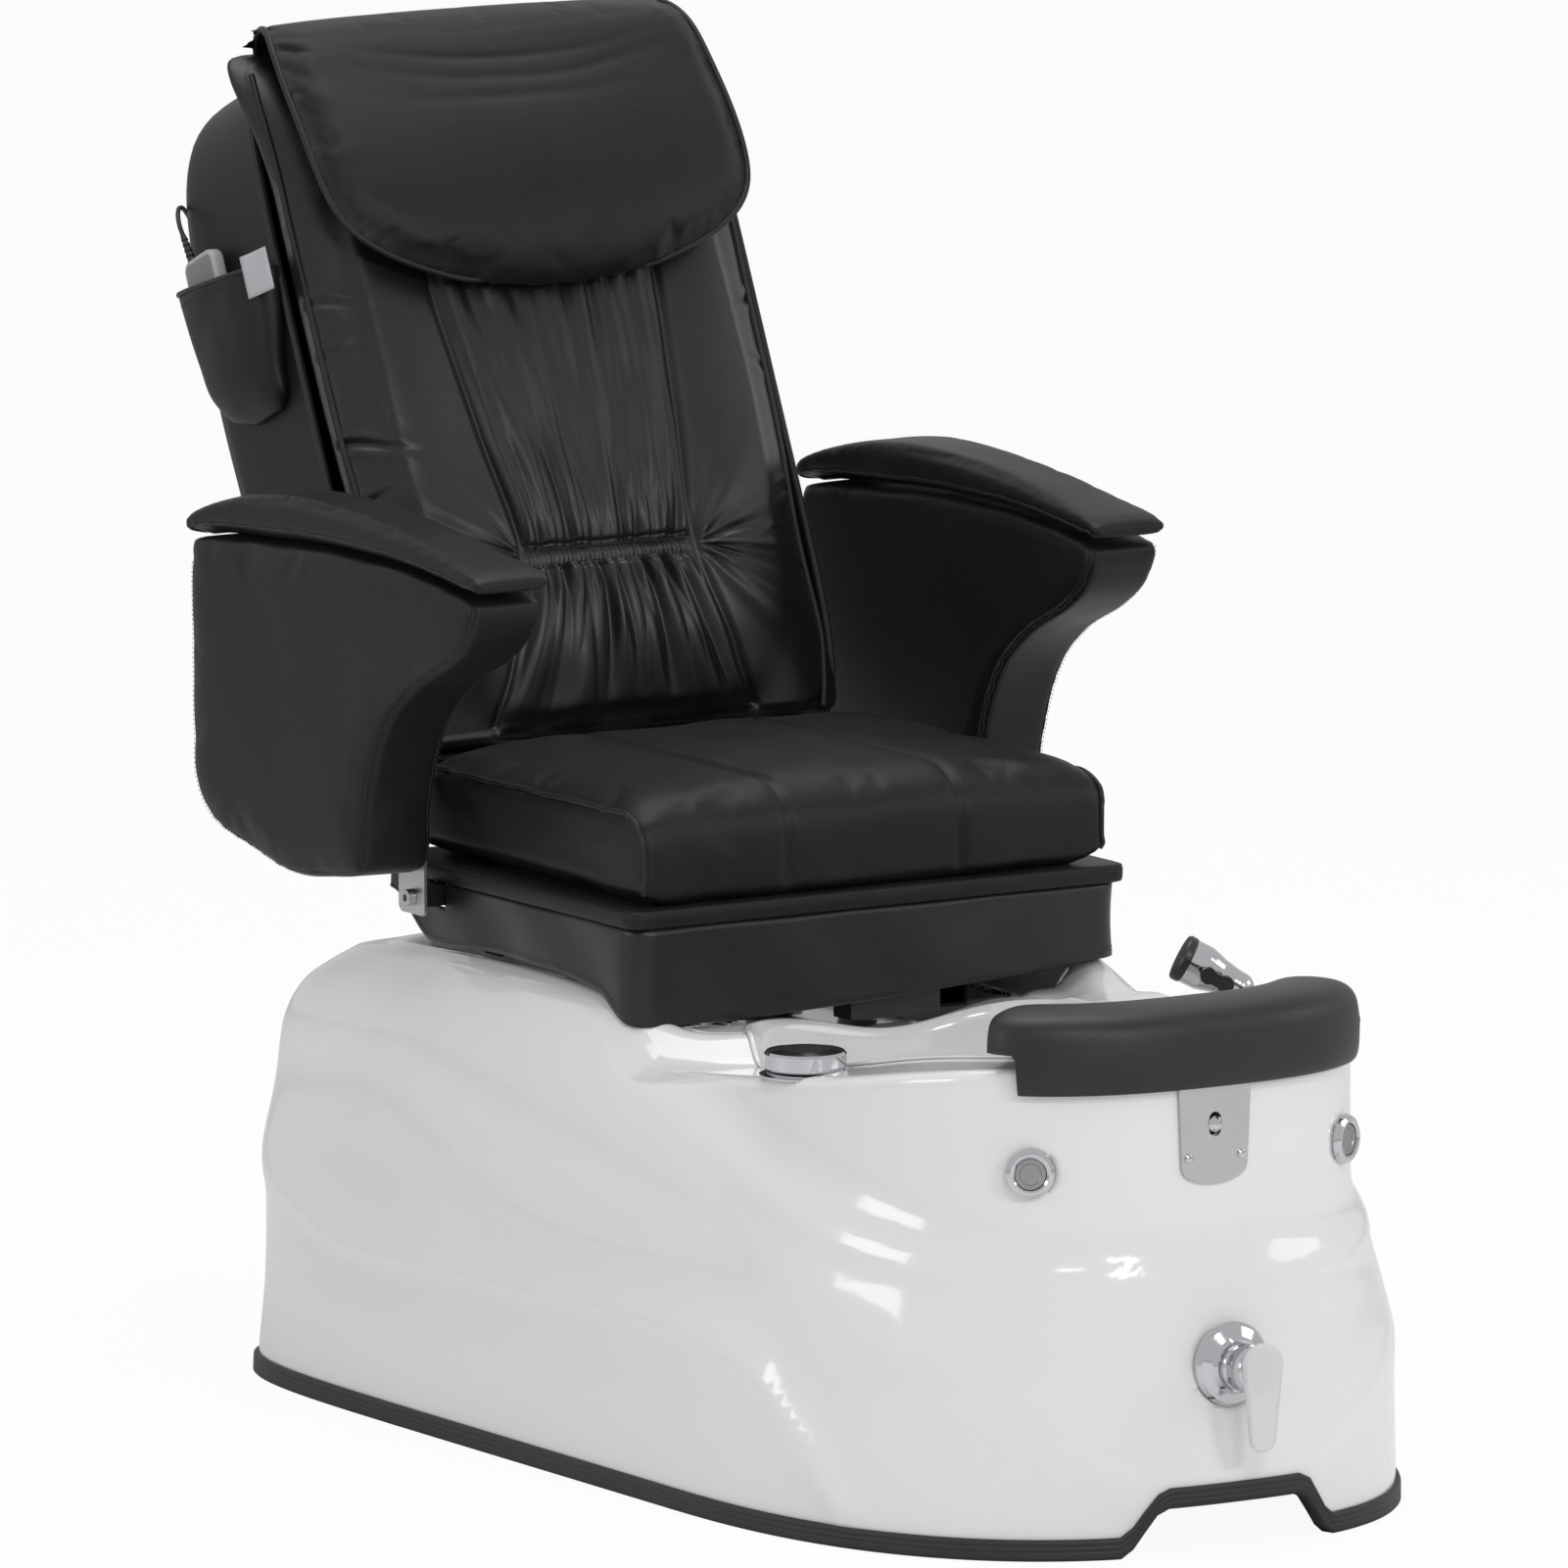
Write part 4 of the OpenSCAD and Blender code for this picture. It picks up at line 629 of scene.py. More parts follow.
rows = [onWall(footZ, 0 * ones)]
wallTop = rimTop - base["rimRound"]
for f in ease(np.linspace(0, 1, base["wallRows"])) * 0.35 + np.linspace(0, 1, base["wallRows"]) * 0.65:
    rows.append(onWall(mix(footZ, wallTop, f), 0 * ones))
for a in (25, 50, 75):
    a = math.radians(a)
    rows.append(np.column_stack([rimAt - rimOut * base["rimRound"] * (1 - math.cos(a)),
                                 wallTop + base["rimRound"] * math.sin(a)]))
rows += [ledge(k) for k in np.concatenate([[0], np.linspace(0.15, 3, 17), np.linspace(3, 3.97, 14)[1:], [4]])]
rows += [ledge(k, base["ledgeT"]) for k in (4, 3, 2, 1)]
rows += [onWall(mix(footZ, wallTop, f), -base["wall"] * ones) for f in (0.93, 0.84, 0.72, 0.55, 0.38, 0.2, 0)]
ring = np.stack(rows, axis=1)  # stations by points round the section
shell = newPiece("baseShell", *allRound(ring), "gelCoat", None)
controls = {"lever": ((0, -768, 172), 0, 40, 18), "knob": ((-238, -412, 412), None, 43.5, 34),
            "socket": ((232, -432, 418), None, 26.5, 36),
            "buttonLeft": ((-172, -692, 355), -28, 24, 32), "buttonRight": ((172, -692, 355), 28, 24, 32),
            "bracketSlot": ((0, -730, 392), 0, 11, 22)}
cutters = bmesh.new()
for spot, face, seatR, boreD in controls.values():
    for r, low, high in ((seatR, -2 if face == 0 else 3 if face else 0, 20), (boreD / 2, -40, 15)):
        ends = []
        for h in (low, high):
            ringPoints = []
            for k in range(64):
                a = math.tau * k / 64
                p = np.array([r * math.cos(a), r * math.sin(a), h])
                if face is not None:  # stands on the wall, facing forwards and turned to its side
                    p = np.array([p[0], -p[2], p[1]])
                    t = math.radians(face)
                    p = np.array([p[0] * math.cos(t) - p[1] * math.sin(t),
                                  p[0] * math.sin(t) + p[1] * math.cos(t), p[2]])
                ringPoints.append(cutters.verts.new((fromSeat(p + np.array(spot)) / 1000).tolist()))
            ends.append(ringPoints)
        for k in range(64):
            cutters.faces.new((ends[0][k], ends[0][(k + 1) % 64], ends[1][(k + 1) % 64], ends[1][k]))
        cutters.faces.new(ends[0][::-1])
        cutters.faces.new(ends[1])
bmesh.ops.recalc_face_normals(cutters, faces=cutters.faces)
cutMesh = bpy.data.meshes.new("wells")
cutters.to_mesh(cutMesh)
cutObj = bpy.data.objects.new("wells", cutMesh)
bpy.context.scene.collection.objects.link(cutObj)
well = shell.modifiers.new("wells", "BOOLEAN")
well.operation, well.object, well.solver, well.use_self = "DIFFERENCE", cutObj, "EXACT", True
applied(shell)
bpy.data.objects.remove(cutObj)
place(shell, "base", ["base_shell"])
print("base shell", len(shell.data.polygons))

# Rubber round the foot: heights over the foot line and how far each stands out
trim = {"proud": 5, "under": 10,
        "section": [(0.4, 5), (3.4, 5), (4.8, 5), (5.5, 4.1), (6.2, 5), (10, 5), (10.8, 4.1), (11.5, 5),
                    (13.8, 5), (15.4, 4.6), (16.4, 3.6), (16.6, 2), (16.6, 0.2), (9, 0.2),
                    (-0.1, 0.2), (-0.1, -10)]}
rows = [np.column_stack([footAt + footOut * (trim["proud"] - 1.5), arch]),
        np.column_stack([footAt + footOut * trim["proud"], arch + 1.6])]
rows += [onWall(footZ + h, push * ones) for h, push in trim["section"]]
rows.append(np.column_stack([footAt - footOut * trim["under"], arch]))
newPiece("floorTrim", *allRound(np.stack(rows, axis=1)), "rubber", "base", ["floor_trim"], "trim_black")

waste = np.array(base["waste"])
toWaste = mouthAt - waste
farOut = np.linalg.norm(toWaste, axis=1)[:, None]
lip = ledge(4)[:, 2] + 3


def basinAt(inset, z):
    return np.column_stack([waste + toWaste * (1 - inset / farOut), z])


def basinEdge(r, z):
    return np.column_stack([waste + toWaste / farOut * r, z * ones])


inner = smoothLoop([(3, 1.05), (5, 1), (9, 0.86), (14, 0.5), (24, 0.24), (40, 0.1), (66, 0.03)], 5,
                   closed=False)
rows = [basinAt(-2.4, lip + 0.3), basinAt(-2.4, lip + 2.2), basinAt(-1.2, lip + 3), basinAt(1, lip + 2.9),
        basinAt(2.6, lip + 2)]
rows += [basinAt(i, mix(base["basinFloor"], lip - 14, s)) for i, s in inner[4:]]
rows += [basinEdge(r, z) for r, z in ((66, 189), (50, 188), (36, 187), (28, 186.4), (26.5, 186), (26.5, 182),
                                      (66, 184))]
rows += [basinAt(i - (1 if i > 60 else 4), mix(base["basinFloor"], lip - 14, s) - (4 if s < 0.2 else 0))
         for i, s in ((66, 0.03), (40, 0.1), (24, 0.24), (14, 0.5), (9, 0.86), (5, 1))]
rows.append(basinAt(1, lip + 0.3))
newPiece("footBasin", *allRound(np.stack(rows, axis=1)), "gelCoat", "base", ["foot_basin"], "shell_white")
print("basin and trim made")

# Drain lever: a chrome knob with a frosted handle plate on its front
lever = {"at": (0, -768, 172),
         "body": [(0, 14.6), (21.4, 14.6), (22.2, 15.4), (22.2, 22.4), (20.6, 23.4), (20.6, 24.6), (22.4, 25.6),
                  (22.4, 46.4), (21.4, 48), (12, 48.4), (0, 48.5)],
         "top": (6, 21), "tip": (-61, 13.5), "plate": (48.6, 57.2)}


def facing(p, at):  # local x, height and reach to the front
    p = np.asarray(p, float)
    return fromSeat(np.stack([p[..., 0], -p[..., 2], p[..., 1]], axis=-1) + np.array(at))


turns = np.linspace(0, math.tau, 64, endpoint=False)
loops = [np.column_stack([max(r, 0.05) * np.cos(turns), max(r, 0.05) * np.sin(turns), np.full(64, h)])
         for r, h in lever["body"]]
newPiece("leverKnob", *skin(facing(loops, lever["at"])), "chrome", "drain_lever", ["drain_lever"], "chrome")
(y0, r0), (y1, r1) = lever["top"], lever["tip"]
slant = math.asin((r0 - r1) / (y0 - y1))
plateLine = [(r0 * math.cos(a), y0 + r0 * math.sin(a)) for a in np.linspace(-slant, math.pi + slant, 40)]
plateLine += [(r1 * math.cos(a), y1 + r1 * math.sin(a))
              for a in np.linspace(math.pi + slant, math.tau - slant, 24)]
backH, frontH = lever["plate"]
plateEdge = [(backH, 1.6), (backH + 0.5, 0.6), (backH + 1.6, 0), (frontH - 2.6, 0), (frontH - 1, 0.8),
             (frontH - 0.3, 2.2), (frontH, 4.5)]
loops = [np.column_stack([drawnIn(np.array(plateLine), -inset), np.full(len(plateLine), h)])
         for h, inset in plateEdge]
newPiece("leverHandle", *skin(facing(loops, lever["at"])), "frosted", "drain_lever", (), "plastic_grey")

# Studio: a pale floor, a white room behind it, and its lamps
studio = {"floorTone": 0.9, "floorGlow": 0.94, "worldTone": 0.46, "glossShare": 0.35,
          "keyPower": 31, "fillPower": 24, "topPower": 60, "sidePower": 27}


def grey(tone):
    return (tone, tone, tone, 1)


floorMesh = bpy.data.meshes.new("studioFloor")
floorMesh.from_pydata([(-30, -30, 0), (30, -30, 0), (30, 30, 0), (-30, 30, 0)], [], [(0, 1, 2, 3)])
floor = bpy.data.objects.new("studioFloor", floorMesh)
bpy.context.scene.collection.objects.link(floor)
floorFinish = bpy.data.materials.new("studioFloor")
floorFinish.use_nodes = True
t = floorFinish.node_tree
matt = t.nodes["Principled BSDF"]
matt.inputs["Base Color"].default_value = grey(studio["floorTone"])
matt.inputs["Roughness"].default_value = 0.9
glow = joined(t, "ShaderNodeEmission", {})
ray = joined(t, "ShaderNodeLightPath", {})
share = joined(t, "ShaderNodeMath", {0: ray["Is Camera Ray"], 1: studio["floorGlow"]}, operation="MULTIPLY")
blend = joined(t, "ShaderNodeMixShader", {0: share[0], 1: matt.outputs[0], 2: glow[0]})
t.links.new(blend[0], t.nodes["Material Output"].inputs["Surface"])
floorMesh.materials.append(floorFinish)

world = bpy.data.worlds.new("studio")
bpy.context.scene.world = world
world.use_nodes = True
t = world.node_tree
ray = joined(t, "ShaderNodeLightPath", {})
seen = joined(t, "ShaderNodeMath", {0: ray["Is Camera Ray"], 1: ray["Is Transmission Ray"]},
              operation="MAXIMUM")
dimmer = joined(t, "ShaderNodeMath", {0: ray["Is Glossy Ray"], 1: studio["glossShare"]}, operation="MULTIPLY")
either = joined(t, "ShaderNodeMath", {0: seen[0], 1: dimmer[0]}, operation="MAXIMUM")
tone = t.nodes.new("ShaderNodeMix")
tone.data_type = "RGBA"
tone.inputs["A"].default_value = grey(studio["worldTone"])
tone.inputs["B"].default_value = grey(1)
t.links.new(either[0], tone.inputs["Factor"])
t.links.new(tone.outputs["Result"], t.nodes["Background"].inputs["Color"])


def areaLight(name, spot, aim, size, power, sizeY=None):
    data = bpy.data.lights.new(name, "AREA")
    data.energy, data.size = power, size
    if sizeY:
        data.shape, data.size_y = "RECTANGLE", sizeY
    lamp = bpy.data.objects.new(name, data)
    lamp.location = spot
    lamp.rotation_euler = (Vector(aim) - Vector(spot)).to_track_quat("-Z", "Y").to_euler()
    bpy.context.scene.collection.objects.link(lamp)


areaLight("keyHigh", (-1.3, -4.2, 3.1), (0, 0, 0.5), 1.0, studio["keyPower"], 0.16)
areaLight("keyLow", (0.5, -4.7, 2.2), (0, 0, 0.5), 0.9, studio["keyPower"], 0.14)
areaLight("fill", (3.8, -2.6, 2.2), (0, 0, 0.6), 2.2, studio["fillPower"], 1.6)
areaLight("top", (0.2, 0.4, 4.2), (0, 0, 0.6), 2.6, studio["topPower"])
areaLight("side", (-4.4, 0.4, 1.9), (0, 0, 0.7), 1.8, studio["sidePower"], 1.2)
bpy.context.scene.view_settings.view_transform = "Standard"
print("studio set")

# Seat board under its vinyl covering, and the cushion on it
seat = {"boardHalf": 278, "front": -174, "rear": 272, "boardTop": 534, "boardT": 17, "corner": 14,
        "cushionHalf": 271, "cushionFront": -172, "cushionRear": 262, "cushionH": 99, "channelX": 96,
        "startInset": 3.5, "swell": 8, "pipingR": 2.6}


def boardLoop(inset, z, per=10):
    r = max(2, seat["corner"] - inset)
    pts = []
    for cx, cy, a0 in ((1, 1, 0), (-1, 1, 90), (-1, -1, 180), (1, -1, 270)):
        ox = cx * (seat["boardHalf"] - inset - r)
        oy = (seat["rear"] - inset - r) if cy > 0 else (seat["front"] + inset + r)
        for k in range(per + 1):
            a = math.radians(a0 + 90 * k / per)
            pts.append((ox + r * math.cos(a), oy + r * math.sin(a), z))
    return evenLine(pts, 8, closed=True)[:236]


low, top = seat["boardTop"] - seat["boardT"], seat["boardTop"]
edge = [(12, low), (3, low), (0.9, low + 0.8), (0.1, low + 2.6), (0, low + 8), (0.1, top - 3), (0.9, top - 0.9),
        (3, top), (12, top)]
loops = []
for inset, z in edge:
    p = evenLine(boardLoop(inset, z), 1, closed=True)
    loops.append(p[np.linspace(0, len(p) - 1, 240).astype(int)])
newPiece("seatBoardCover", *skin(fromSeat(loops)), "leather", "seat", ["seat_board"], "leather_black")


def cushionLoop(s, grow):
    y = mix(seat["cushionFront"], seat["cushionRear"], (s + 1) / 2)
    tip = (1 - abs(s) ** 10) ** (1 / 3)
    w = seat["cushionHalf"] * (0.985 + 0.015 * tip)
    low = seat["boardTop"] + 0.4
    p = squircle(1, 1, 7.5, 96)
    h = seat["cushionH"] * (0.5 + 0.5 * tip)
    px, py = p[:, 0], p[:, 1]
    x = px * (w - grow) * (1 - 0.022 * bell(py / 0.4))
    z = low + (py + 1) / 2 * np.where(py > 0, h - grow, h)
    z = z + np.where(py > 0, 5 * (1 - px * px), 0) * tip
    z = z + np.where(py < -0.5, 0.6, 0)
    return np.column_stack([x, np.full(96, y + (grow if s < -0.5 else -grow if s > 0.5 else 0)), z])


steps = np.sin(np.radians(90 * np.linspace(-1, 1, 70)))
cushion = newPiece("seatCushion", *skin(fromSeat([cushionLoop(s, seat["startInset"]) for s in steps])),
                   "leather", None)
puffUp(cushion, voxel=6, cap=seat["swell"])
c = coords(cushion)
n = normalsOf(cushion)
x, y, z = c[:, 0], c[:, 1] - chair["drawnAhead"], c[:, 2]
sewn = np.clip(n[:, 2] + np.maximum(0, -n[:, 1]), 0, 1)
groove = -3.4 * (bell((x - seat["channelX"]) / 5.5) + bell((x + seat["channelX"]) / 5.5))
pull = 1.6 * wobble(x / 60, y / 50, 3) * ease((np.abs(n[:, 2]) - 0.3) / 0.4) \
    + 0.9 * wobble(x / 22, y / 26, 5) * bell((np.abs(np.abs(x) - seat["channelX"]) - 9) / 12) \
    + 1.2 * wobble(y / 26, z / 40, 9) * ease((np.abs(n[:, 0]) - 0.5) / 0.3) \
    + 1.4 * wobble(x / 30, z / 60, 12) * ease((-n[:, 1] - 0.4) / 0.4)
c = c + n * (groove * sewn + pull)[:, None]
c[:, 2] = np.maximum(c[:, 2], seat["boardTop"] + 0.4)
setCoords(cushion, c)
place(cushion, "seat", ["seat_cushion"])


def sideSeam(s):  # along the top edge and down round the front corner
    half = seat["cushionHalf"] - 4
    pts = [(s * half, seat["cushionRear"] - 6, 560), (s * half, seat["cushionRear"] - 8, 622)]
    pts += [(s * half, y, 632 + 2 * math.sin(y / 90)) for y in range(225, -130, -25)]
    pts += [(s * half, y, z) for y, z in ((-146, 626), (-160, 612), (-169, 590), (-171, 562), (-168, 542))]
    return evenLine(smoothLoop(fromSeat(pts), 6, closed=False), 4)


def topSeam(x):
    pts = [(x, seat["cushionRear"] - 20, 660)] + [(x, y, 660) for y in range(225, -130, -25)]
    pts += [(x, -155, 650), (x, -178, 630), (x, -186, 600), (x, -186, 570), (x, -180, 545)]
    return evenLine(smoothLoop(fromSeat(pts), 6, closed=False), 4)


skinTree = surfaceTree(cushion)
piping = [laidOn(skinTree, sideSeam(s), 0.9) for s in (-1, 1)]
pipedAlong("seatPiping", piping, seat["pipingR"], "seat")
seatStitches = [laidOn(skinTree, topSeam(s * seat["channelX"] + shift), 0.25)
                for s in (-1, 1) for shift in (-4.5, 4.5)]
print("seat cushion made")

# Stitching: one thread shape repeated along each row
stitch = {"pitch": 4.6, "length": 3.1, "thread": 0.75}


def stitchTree():
    tree = bpy.data.node_groups.new("stitchRow", "GeometryNodeTree")
    tree.is_modifier = True
    face = tree.interface
    face.new_socket("Geometry", in_out="INPUT", socket_type="NodeSocketGeometry")
    for label in ("Pitch", "Stitch Length", "Thread Thickness"):
        face.new_socket(label, in_out="INPUT", socket_type="NodeSocketFloat")
    face.new_socket("Thread", in_out="INPUT", socket_type="NodeSocketMaterial")
    face.new_socket("Geometry", in_out="OUTPUT", socket_type="NodeSocketGeometry")
    add = tree.nodes.new
    given, made = add("NodeGroupInput"), add("NodeGroupOutput")
    line, spots = add("GeometryNodeMeshToCurve"), add("GeometryNodeCurveToPoints")
    turn, bead = add("FunctionNodeAlignRotationToVector"), add("GeometryNodeMeshIcoSphere")
    each, size = add("GeometryNodeInstanceOnPoints"), add("ShaderNodeCombineXYZ")
    real, dye = add("GeometryNodeRealizeInstances"), add("GeometryNodeSetMaterial")
    spots.mode, turn.axis = "LENGTH", "X"
    bead.inputs["Radius"].default_value, bead.inputs["Subdivisions"].default_value = 0.5, 1
    for source, out, target, into in (
            (given, "Geometry", line, "Mesh"), (line, "Curve", spots, "Curve"),
            (given, "Pitch", spots, "Length"),
            (spots, "Tangent", turn, "Vector"), (given, "Stitch Length", size, "X"),
            (given, "Thread Thickness", size, "Y"), (given, "Thread Thickness", size, "Z"),
            (spots, "Points", each, "Points"), (bead, "Mesh", each, "Instance"),
            (turn, "Rotation", each, "Rotation"), (size, "Vector", each, "Scale"),
            (each, "Instances", real, "Geometry"), (real, "Geometry", dye, "Geometry"),
            (given, "Thread", dye, "Material"), (dye, "Geometry", made, "Geometry")):
        tree.links.new(source.outputs[out], target.inputs[into])
    return tree


stitchNodes = stitchTree()


def stitchRows(name, lines, body, pitch=None):
    verts, edges = [], []
    for line in lines:
        start = len(verts)
        verts += (np.asarray(line) / 1000).tolist()
        edges += [(start + k, start + k + 1) for k in range(len(line) - 1)]
    mesh = bpy.data.meshes.new(name + "Line")
    mesh.from_pydata(verts, edges, [])
    obj = bpy.data.objects.new(name, mesh)
    bpy.context.scene.collection.objects.link(obj)
    mod = obj.modifiers.new("stitches", "NODES")
    mod.node_group = stitchNodes
    given = {"Pitch": (pitch or stitch["pitch"]) / 1000, "Stitch Length": stitch["length"] / 1000,
             "Thread Thickness": stitch["thread"] / 1000, "Thread": finishes["thread"]}
    for item in stitchNodes.interface.items_tree:
        if item.in_out == "INPUT" and item.name in given:
            mod[item.identifier] = given[item.name]
    applied(obj)
    if not obj.data.materials:
        obj.data.materials.append(finishes["thread"])
    place(obj, body, ())


stitchRows("seatStitches", seatStitches, "seat")
boardRow = boardLoop(-0.2, top - 5.5)
stitchRows("boardStitches", [fromSeat(np.vstack([boardRow, boardRow[:1]]))], "seat")

# Vinyl apron hung from the board
skirt = {"half": 274, "front": -170, "rear": 268, "corner": 26, "thick": 2.2, "rows": 14,
         "hemFront": [[-274, 424], [-140, 424], [0, 429], [140, 437], [274, 446]],
         "hemSide": [[-174, 434], [-140, 441], [-110, 450], [-60, 457], [-20, 460], [90, 462], [200, 458],
                     [268, 500]]}
cornerX, cornerY = skirt["half"] - skirt["corner"], skirt["front"] + skirt["corner"]
pts = [(-skirt["half"], y) for y in np.linspace(skirt["rear"], cornerY, 60)]
for side in (-1, 1):
    arc = np.radians(np.linspace(180, 270, 14) + (90 if side > 0 else 0))
    if side > 0:
        pts += [(x, skirt["front"]) for x in np.linspace(-cornerX + 4, cornerX - 4, 80)]
    pts += [(side * cornerX + skirt["corner"] * math.cos(a), cornerY + skirt["corner"] * math.sin(a))
            for a in arc]
pts += [(skirt["half"], y) for y in np.linspace(cornerY, skirt["rear"], 60)][1:]
path = evenLine(pts, 5)
v = np.gradient(path, axis=0)
out = np.stack([v[:, 1], -v[:, 0]], axis=1) / np.linalg.norm(v, axis=1)[:, None]
hemZ = mix(sheer(skirt["hemFront"], path[:, 0]), sheer(skirt["hemSide"], path[:, 1]),
           ease((path[:, 1] + 168) / 60))
topZ = seat["boardTop"] - seat["boardT"] - 0.4


def skirtPoints(f, push):
    fold = 2 * np.sin(np.radians(2.3 * (path[:, 0] + path[:, 1]))) * ease((230 - path[:, 1]) / 60)
    ripple = 0.8 * wobble(path[:, 0] / 30, path[:, 1] / 30, 21) * f
    p = path + out * (push + fold * math.sin(math.pi * f) + ripple)[:, None]
    return np.column_stack([p, mix(topZ, hemZ, f)])


fs = np.linspace(0, 1, skirt["rows"])
loops = [skirtPoints(f, 0) for f in fs] + [skirtPoints(1, -0.4 * skirt["thick"]) - [0, 0, 1]] \
    + [skirtPoints(f, -skirt["thick"]) for f in fs[::-1]]
apron = newPiece("seatSkirt", *skin(fromSeat(np.stack(loops, axis=1))), "leatherSoft", None)


boxFaces = ((0, 1, 3, 2), (4, 6, 7, 5), (0, 4, 5, 1), (2, 3, 7, 6), (0, 2, 6, 4), (1, 5, 7, 3))


def boxCut(obj, boxes, onto):  # boxes in the piece's own axes, cut out of it
    verts, faces = [], []
    for lowC, highC in boxes:
        start = len(verts)
        for i in range(8):
            verts.append([(lowC, highC)[i >> k & 1][k] for k in range(3)])
        faces += [tuple(start + k for k in f) for f in boxFaces]
    cutter = newPiece("slots", onto(np.array(verts, float)), faces, None, None, smooth=False)
    cut = obj.modifiers.new("slots", "BOOLEAN")
    cut.operation, cut.object, cut.solver = "DIFFERENCE", cutter, "EXACT"
    applied(obj)
    bpy.data.objects.remove(cutter)


boxCut(apron, [((s * 274 - 15, 167, 493), (s * 274 + 15, 193, 523)) for s in (-1, 1)], fromSeat)
place(apron, "seat", ["seat_skirt"])
run = np.concatenate([[0], np.cumsum(np.linalg.norm(np.diff(path, axis=0), axis=1))])
drop = topZ - hemZ
flatArea = ((drop[1:] + drop[:-1]) / 2 * np.diff(run)).sum()
drop.max() / 1000
flatArea / 1e6
stitchRows("skirtStitches", [fromSeat(skirtPoints(f, 0.25)) for f in (0.88, 0.93)], "seat")
print("skirt hung", round(run[-1]), "mm round")

# Arms: foam-padded panels covered in vinyl, seamed along their edges
arm = {"outer": 388, "inner": 304, "edge": 7, "startInset": 1.6, "swell": 4,
       "top": [[-66, 828], [-48, 829], [60, 842], [200, 845], [330, 838], [442, 829], [460, 828]],
       "line": [[-66, 818], [-59, 796], [-42, 774], [-8, 750], [48, 720], [92, 684], [118, 638], [132, 588],
                [137, 548], [150, 530], [205, 521], [277, 515], [350, 530], [422, 549], [453, 586], [459, 640],
                [460, 730], [458, 812], [442, 828], [330, 838], [200, 845], [60, 842], [-48, 829]]}
wayRound = smoothLoop(arm["line"], 10)
armCurve = evenLine(wayRound, 5, closed=True)


def mirrored(obj, name, body, swap):
    mesh = obj.data.copy()
    mesh.name = name
    twin = bpy.data.objects.new(name, mesh)
    bpy.context.scene.collection.objects.link(twin)
    c = coords(twin)
    c[:, 0] *= -1
    setCoords(twin, c)
    mesh.flip_normals()
    place(twin, body, swap)
    return twin


def armLoop(x, inset):
    p = drawnIn(armCurve, -inset)
    return np.column_stack([np.full(len(p), x), p])


rounding = [(arm["edge"] * (1 - math.cos(a)), arm["edge"] * (1 - math.sin(a)))
            for a in np.radians(np.linspace(0, 90, 6))]
innerX, outerX, inset = arm["inner"] + arm["startInset"], arm["outer"] - arm["startInset"], arm["startInset"]
loops = [armLoop(innerX + dx, inset + di) for dx, di in rounding] \
    + [armLoop(x, inset) for x in np.linspace(innerX + 12, outerX - 12, 8)] \
    + [armLoop(outerX - dx, inset + di) for dx, di in rounding[::-1]]
armRight = newPiece("armRight", fromSeat(np.vstack(loops)), endCapped(len(loops), len(armCurve)),
                    "leather", None)
puffUp(armRight, voxel=6, cap=arm["swell"])
c = coords(armRight)
n = normalsOf(armRight)
face = ease((np.abs(n[:, 0]) - 0.7) / 0.25)
c = c + n * (0.9 * wobble(c[:, 1] / 70, c[:, 2] / 60, 31) * face
             + 0.7 * wobble(c[:, 0] / 24, (c[:, 1] + c[:, 2]) / 30, 33) * (1 - face))[:, None]
c[:, 2] = np.minimum(c[:, 2], sheer(arm["top"], c[:, 1] - chair["drawnAhead"]))
c[:, 0] = np.maximum(c[:, 0], arm["inner"] + 0.2)
setCoords(armRight, c)
armLeft = mirrored(armRight, "armLeft", "arm_left", ["arm_left"])
place(armRight, "arm_right", ["arm_right"])
skinTree = surfaceTree(armRight)
front = [p for p in evenLine(wayRound, 4, closed=True) if not (p[1] > 815 and -58 < p[0])]
k = max(range(len(front)), key=lambda i: np.linalg.norm(front[i] - front[i - 1]))
front = np.array(front[k:] + front[:k])
armSeams, armRows = [], []
for x, side in ((arm["outer"], -1), (arm["inner"], 1)):
    for shift, inward in ((2.5, 2.5), (1, 8), (9, 0.5)):  # the seam, then a row of stitches on each side of it
        row = np.column_stack([np.full(len(front), x + side * shift), drawnIn(front, -inward)])
        if inward == 2.5:
            armSeams.append(laidOn(skinTree, fromSeat(row[2:-2]), -0.1))
        else:
            armRows.append(laidOn(skinTree, fromSeat(row[3:-3]), 0.2))
for piece, flip in ((armRight, [1, 1, 1]), (armLeft, [-1, 1, 1])):
    drawSeam(piece, [p * np.array(flip) for p in armSeams], 3.0, 3.6)
armSeams = [laidOn(surfaceTree(armRight), p, 0.1) for p in armSeams]
for side, name in ((1, "Right"), (-1, "Left")):
    flip = np.array([side, 1, 1])
    pipedAlong("armSeam" + name, [p * flip for p in armSeams], 1.0, "arm_" + name.lower())
    stitchRows("armStitches" + name, [p * flip for p in armRows], "arm_" + name.lower())

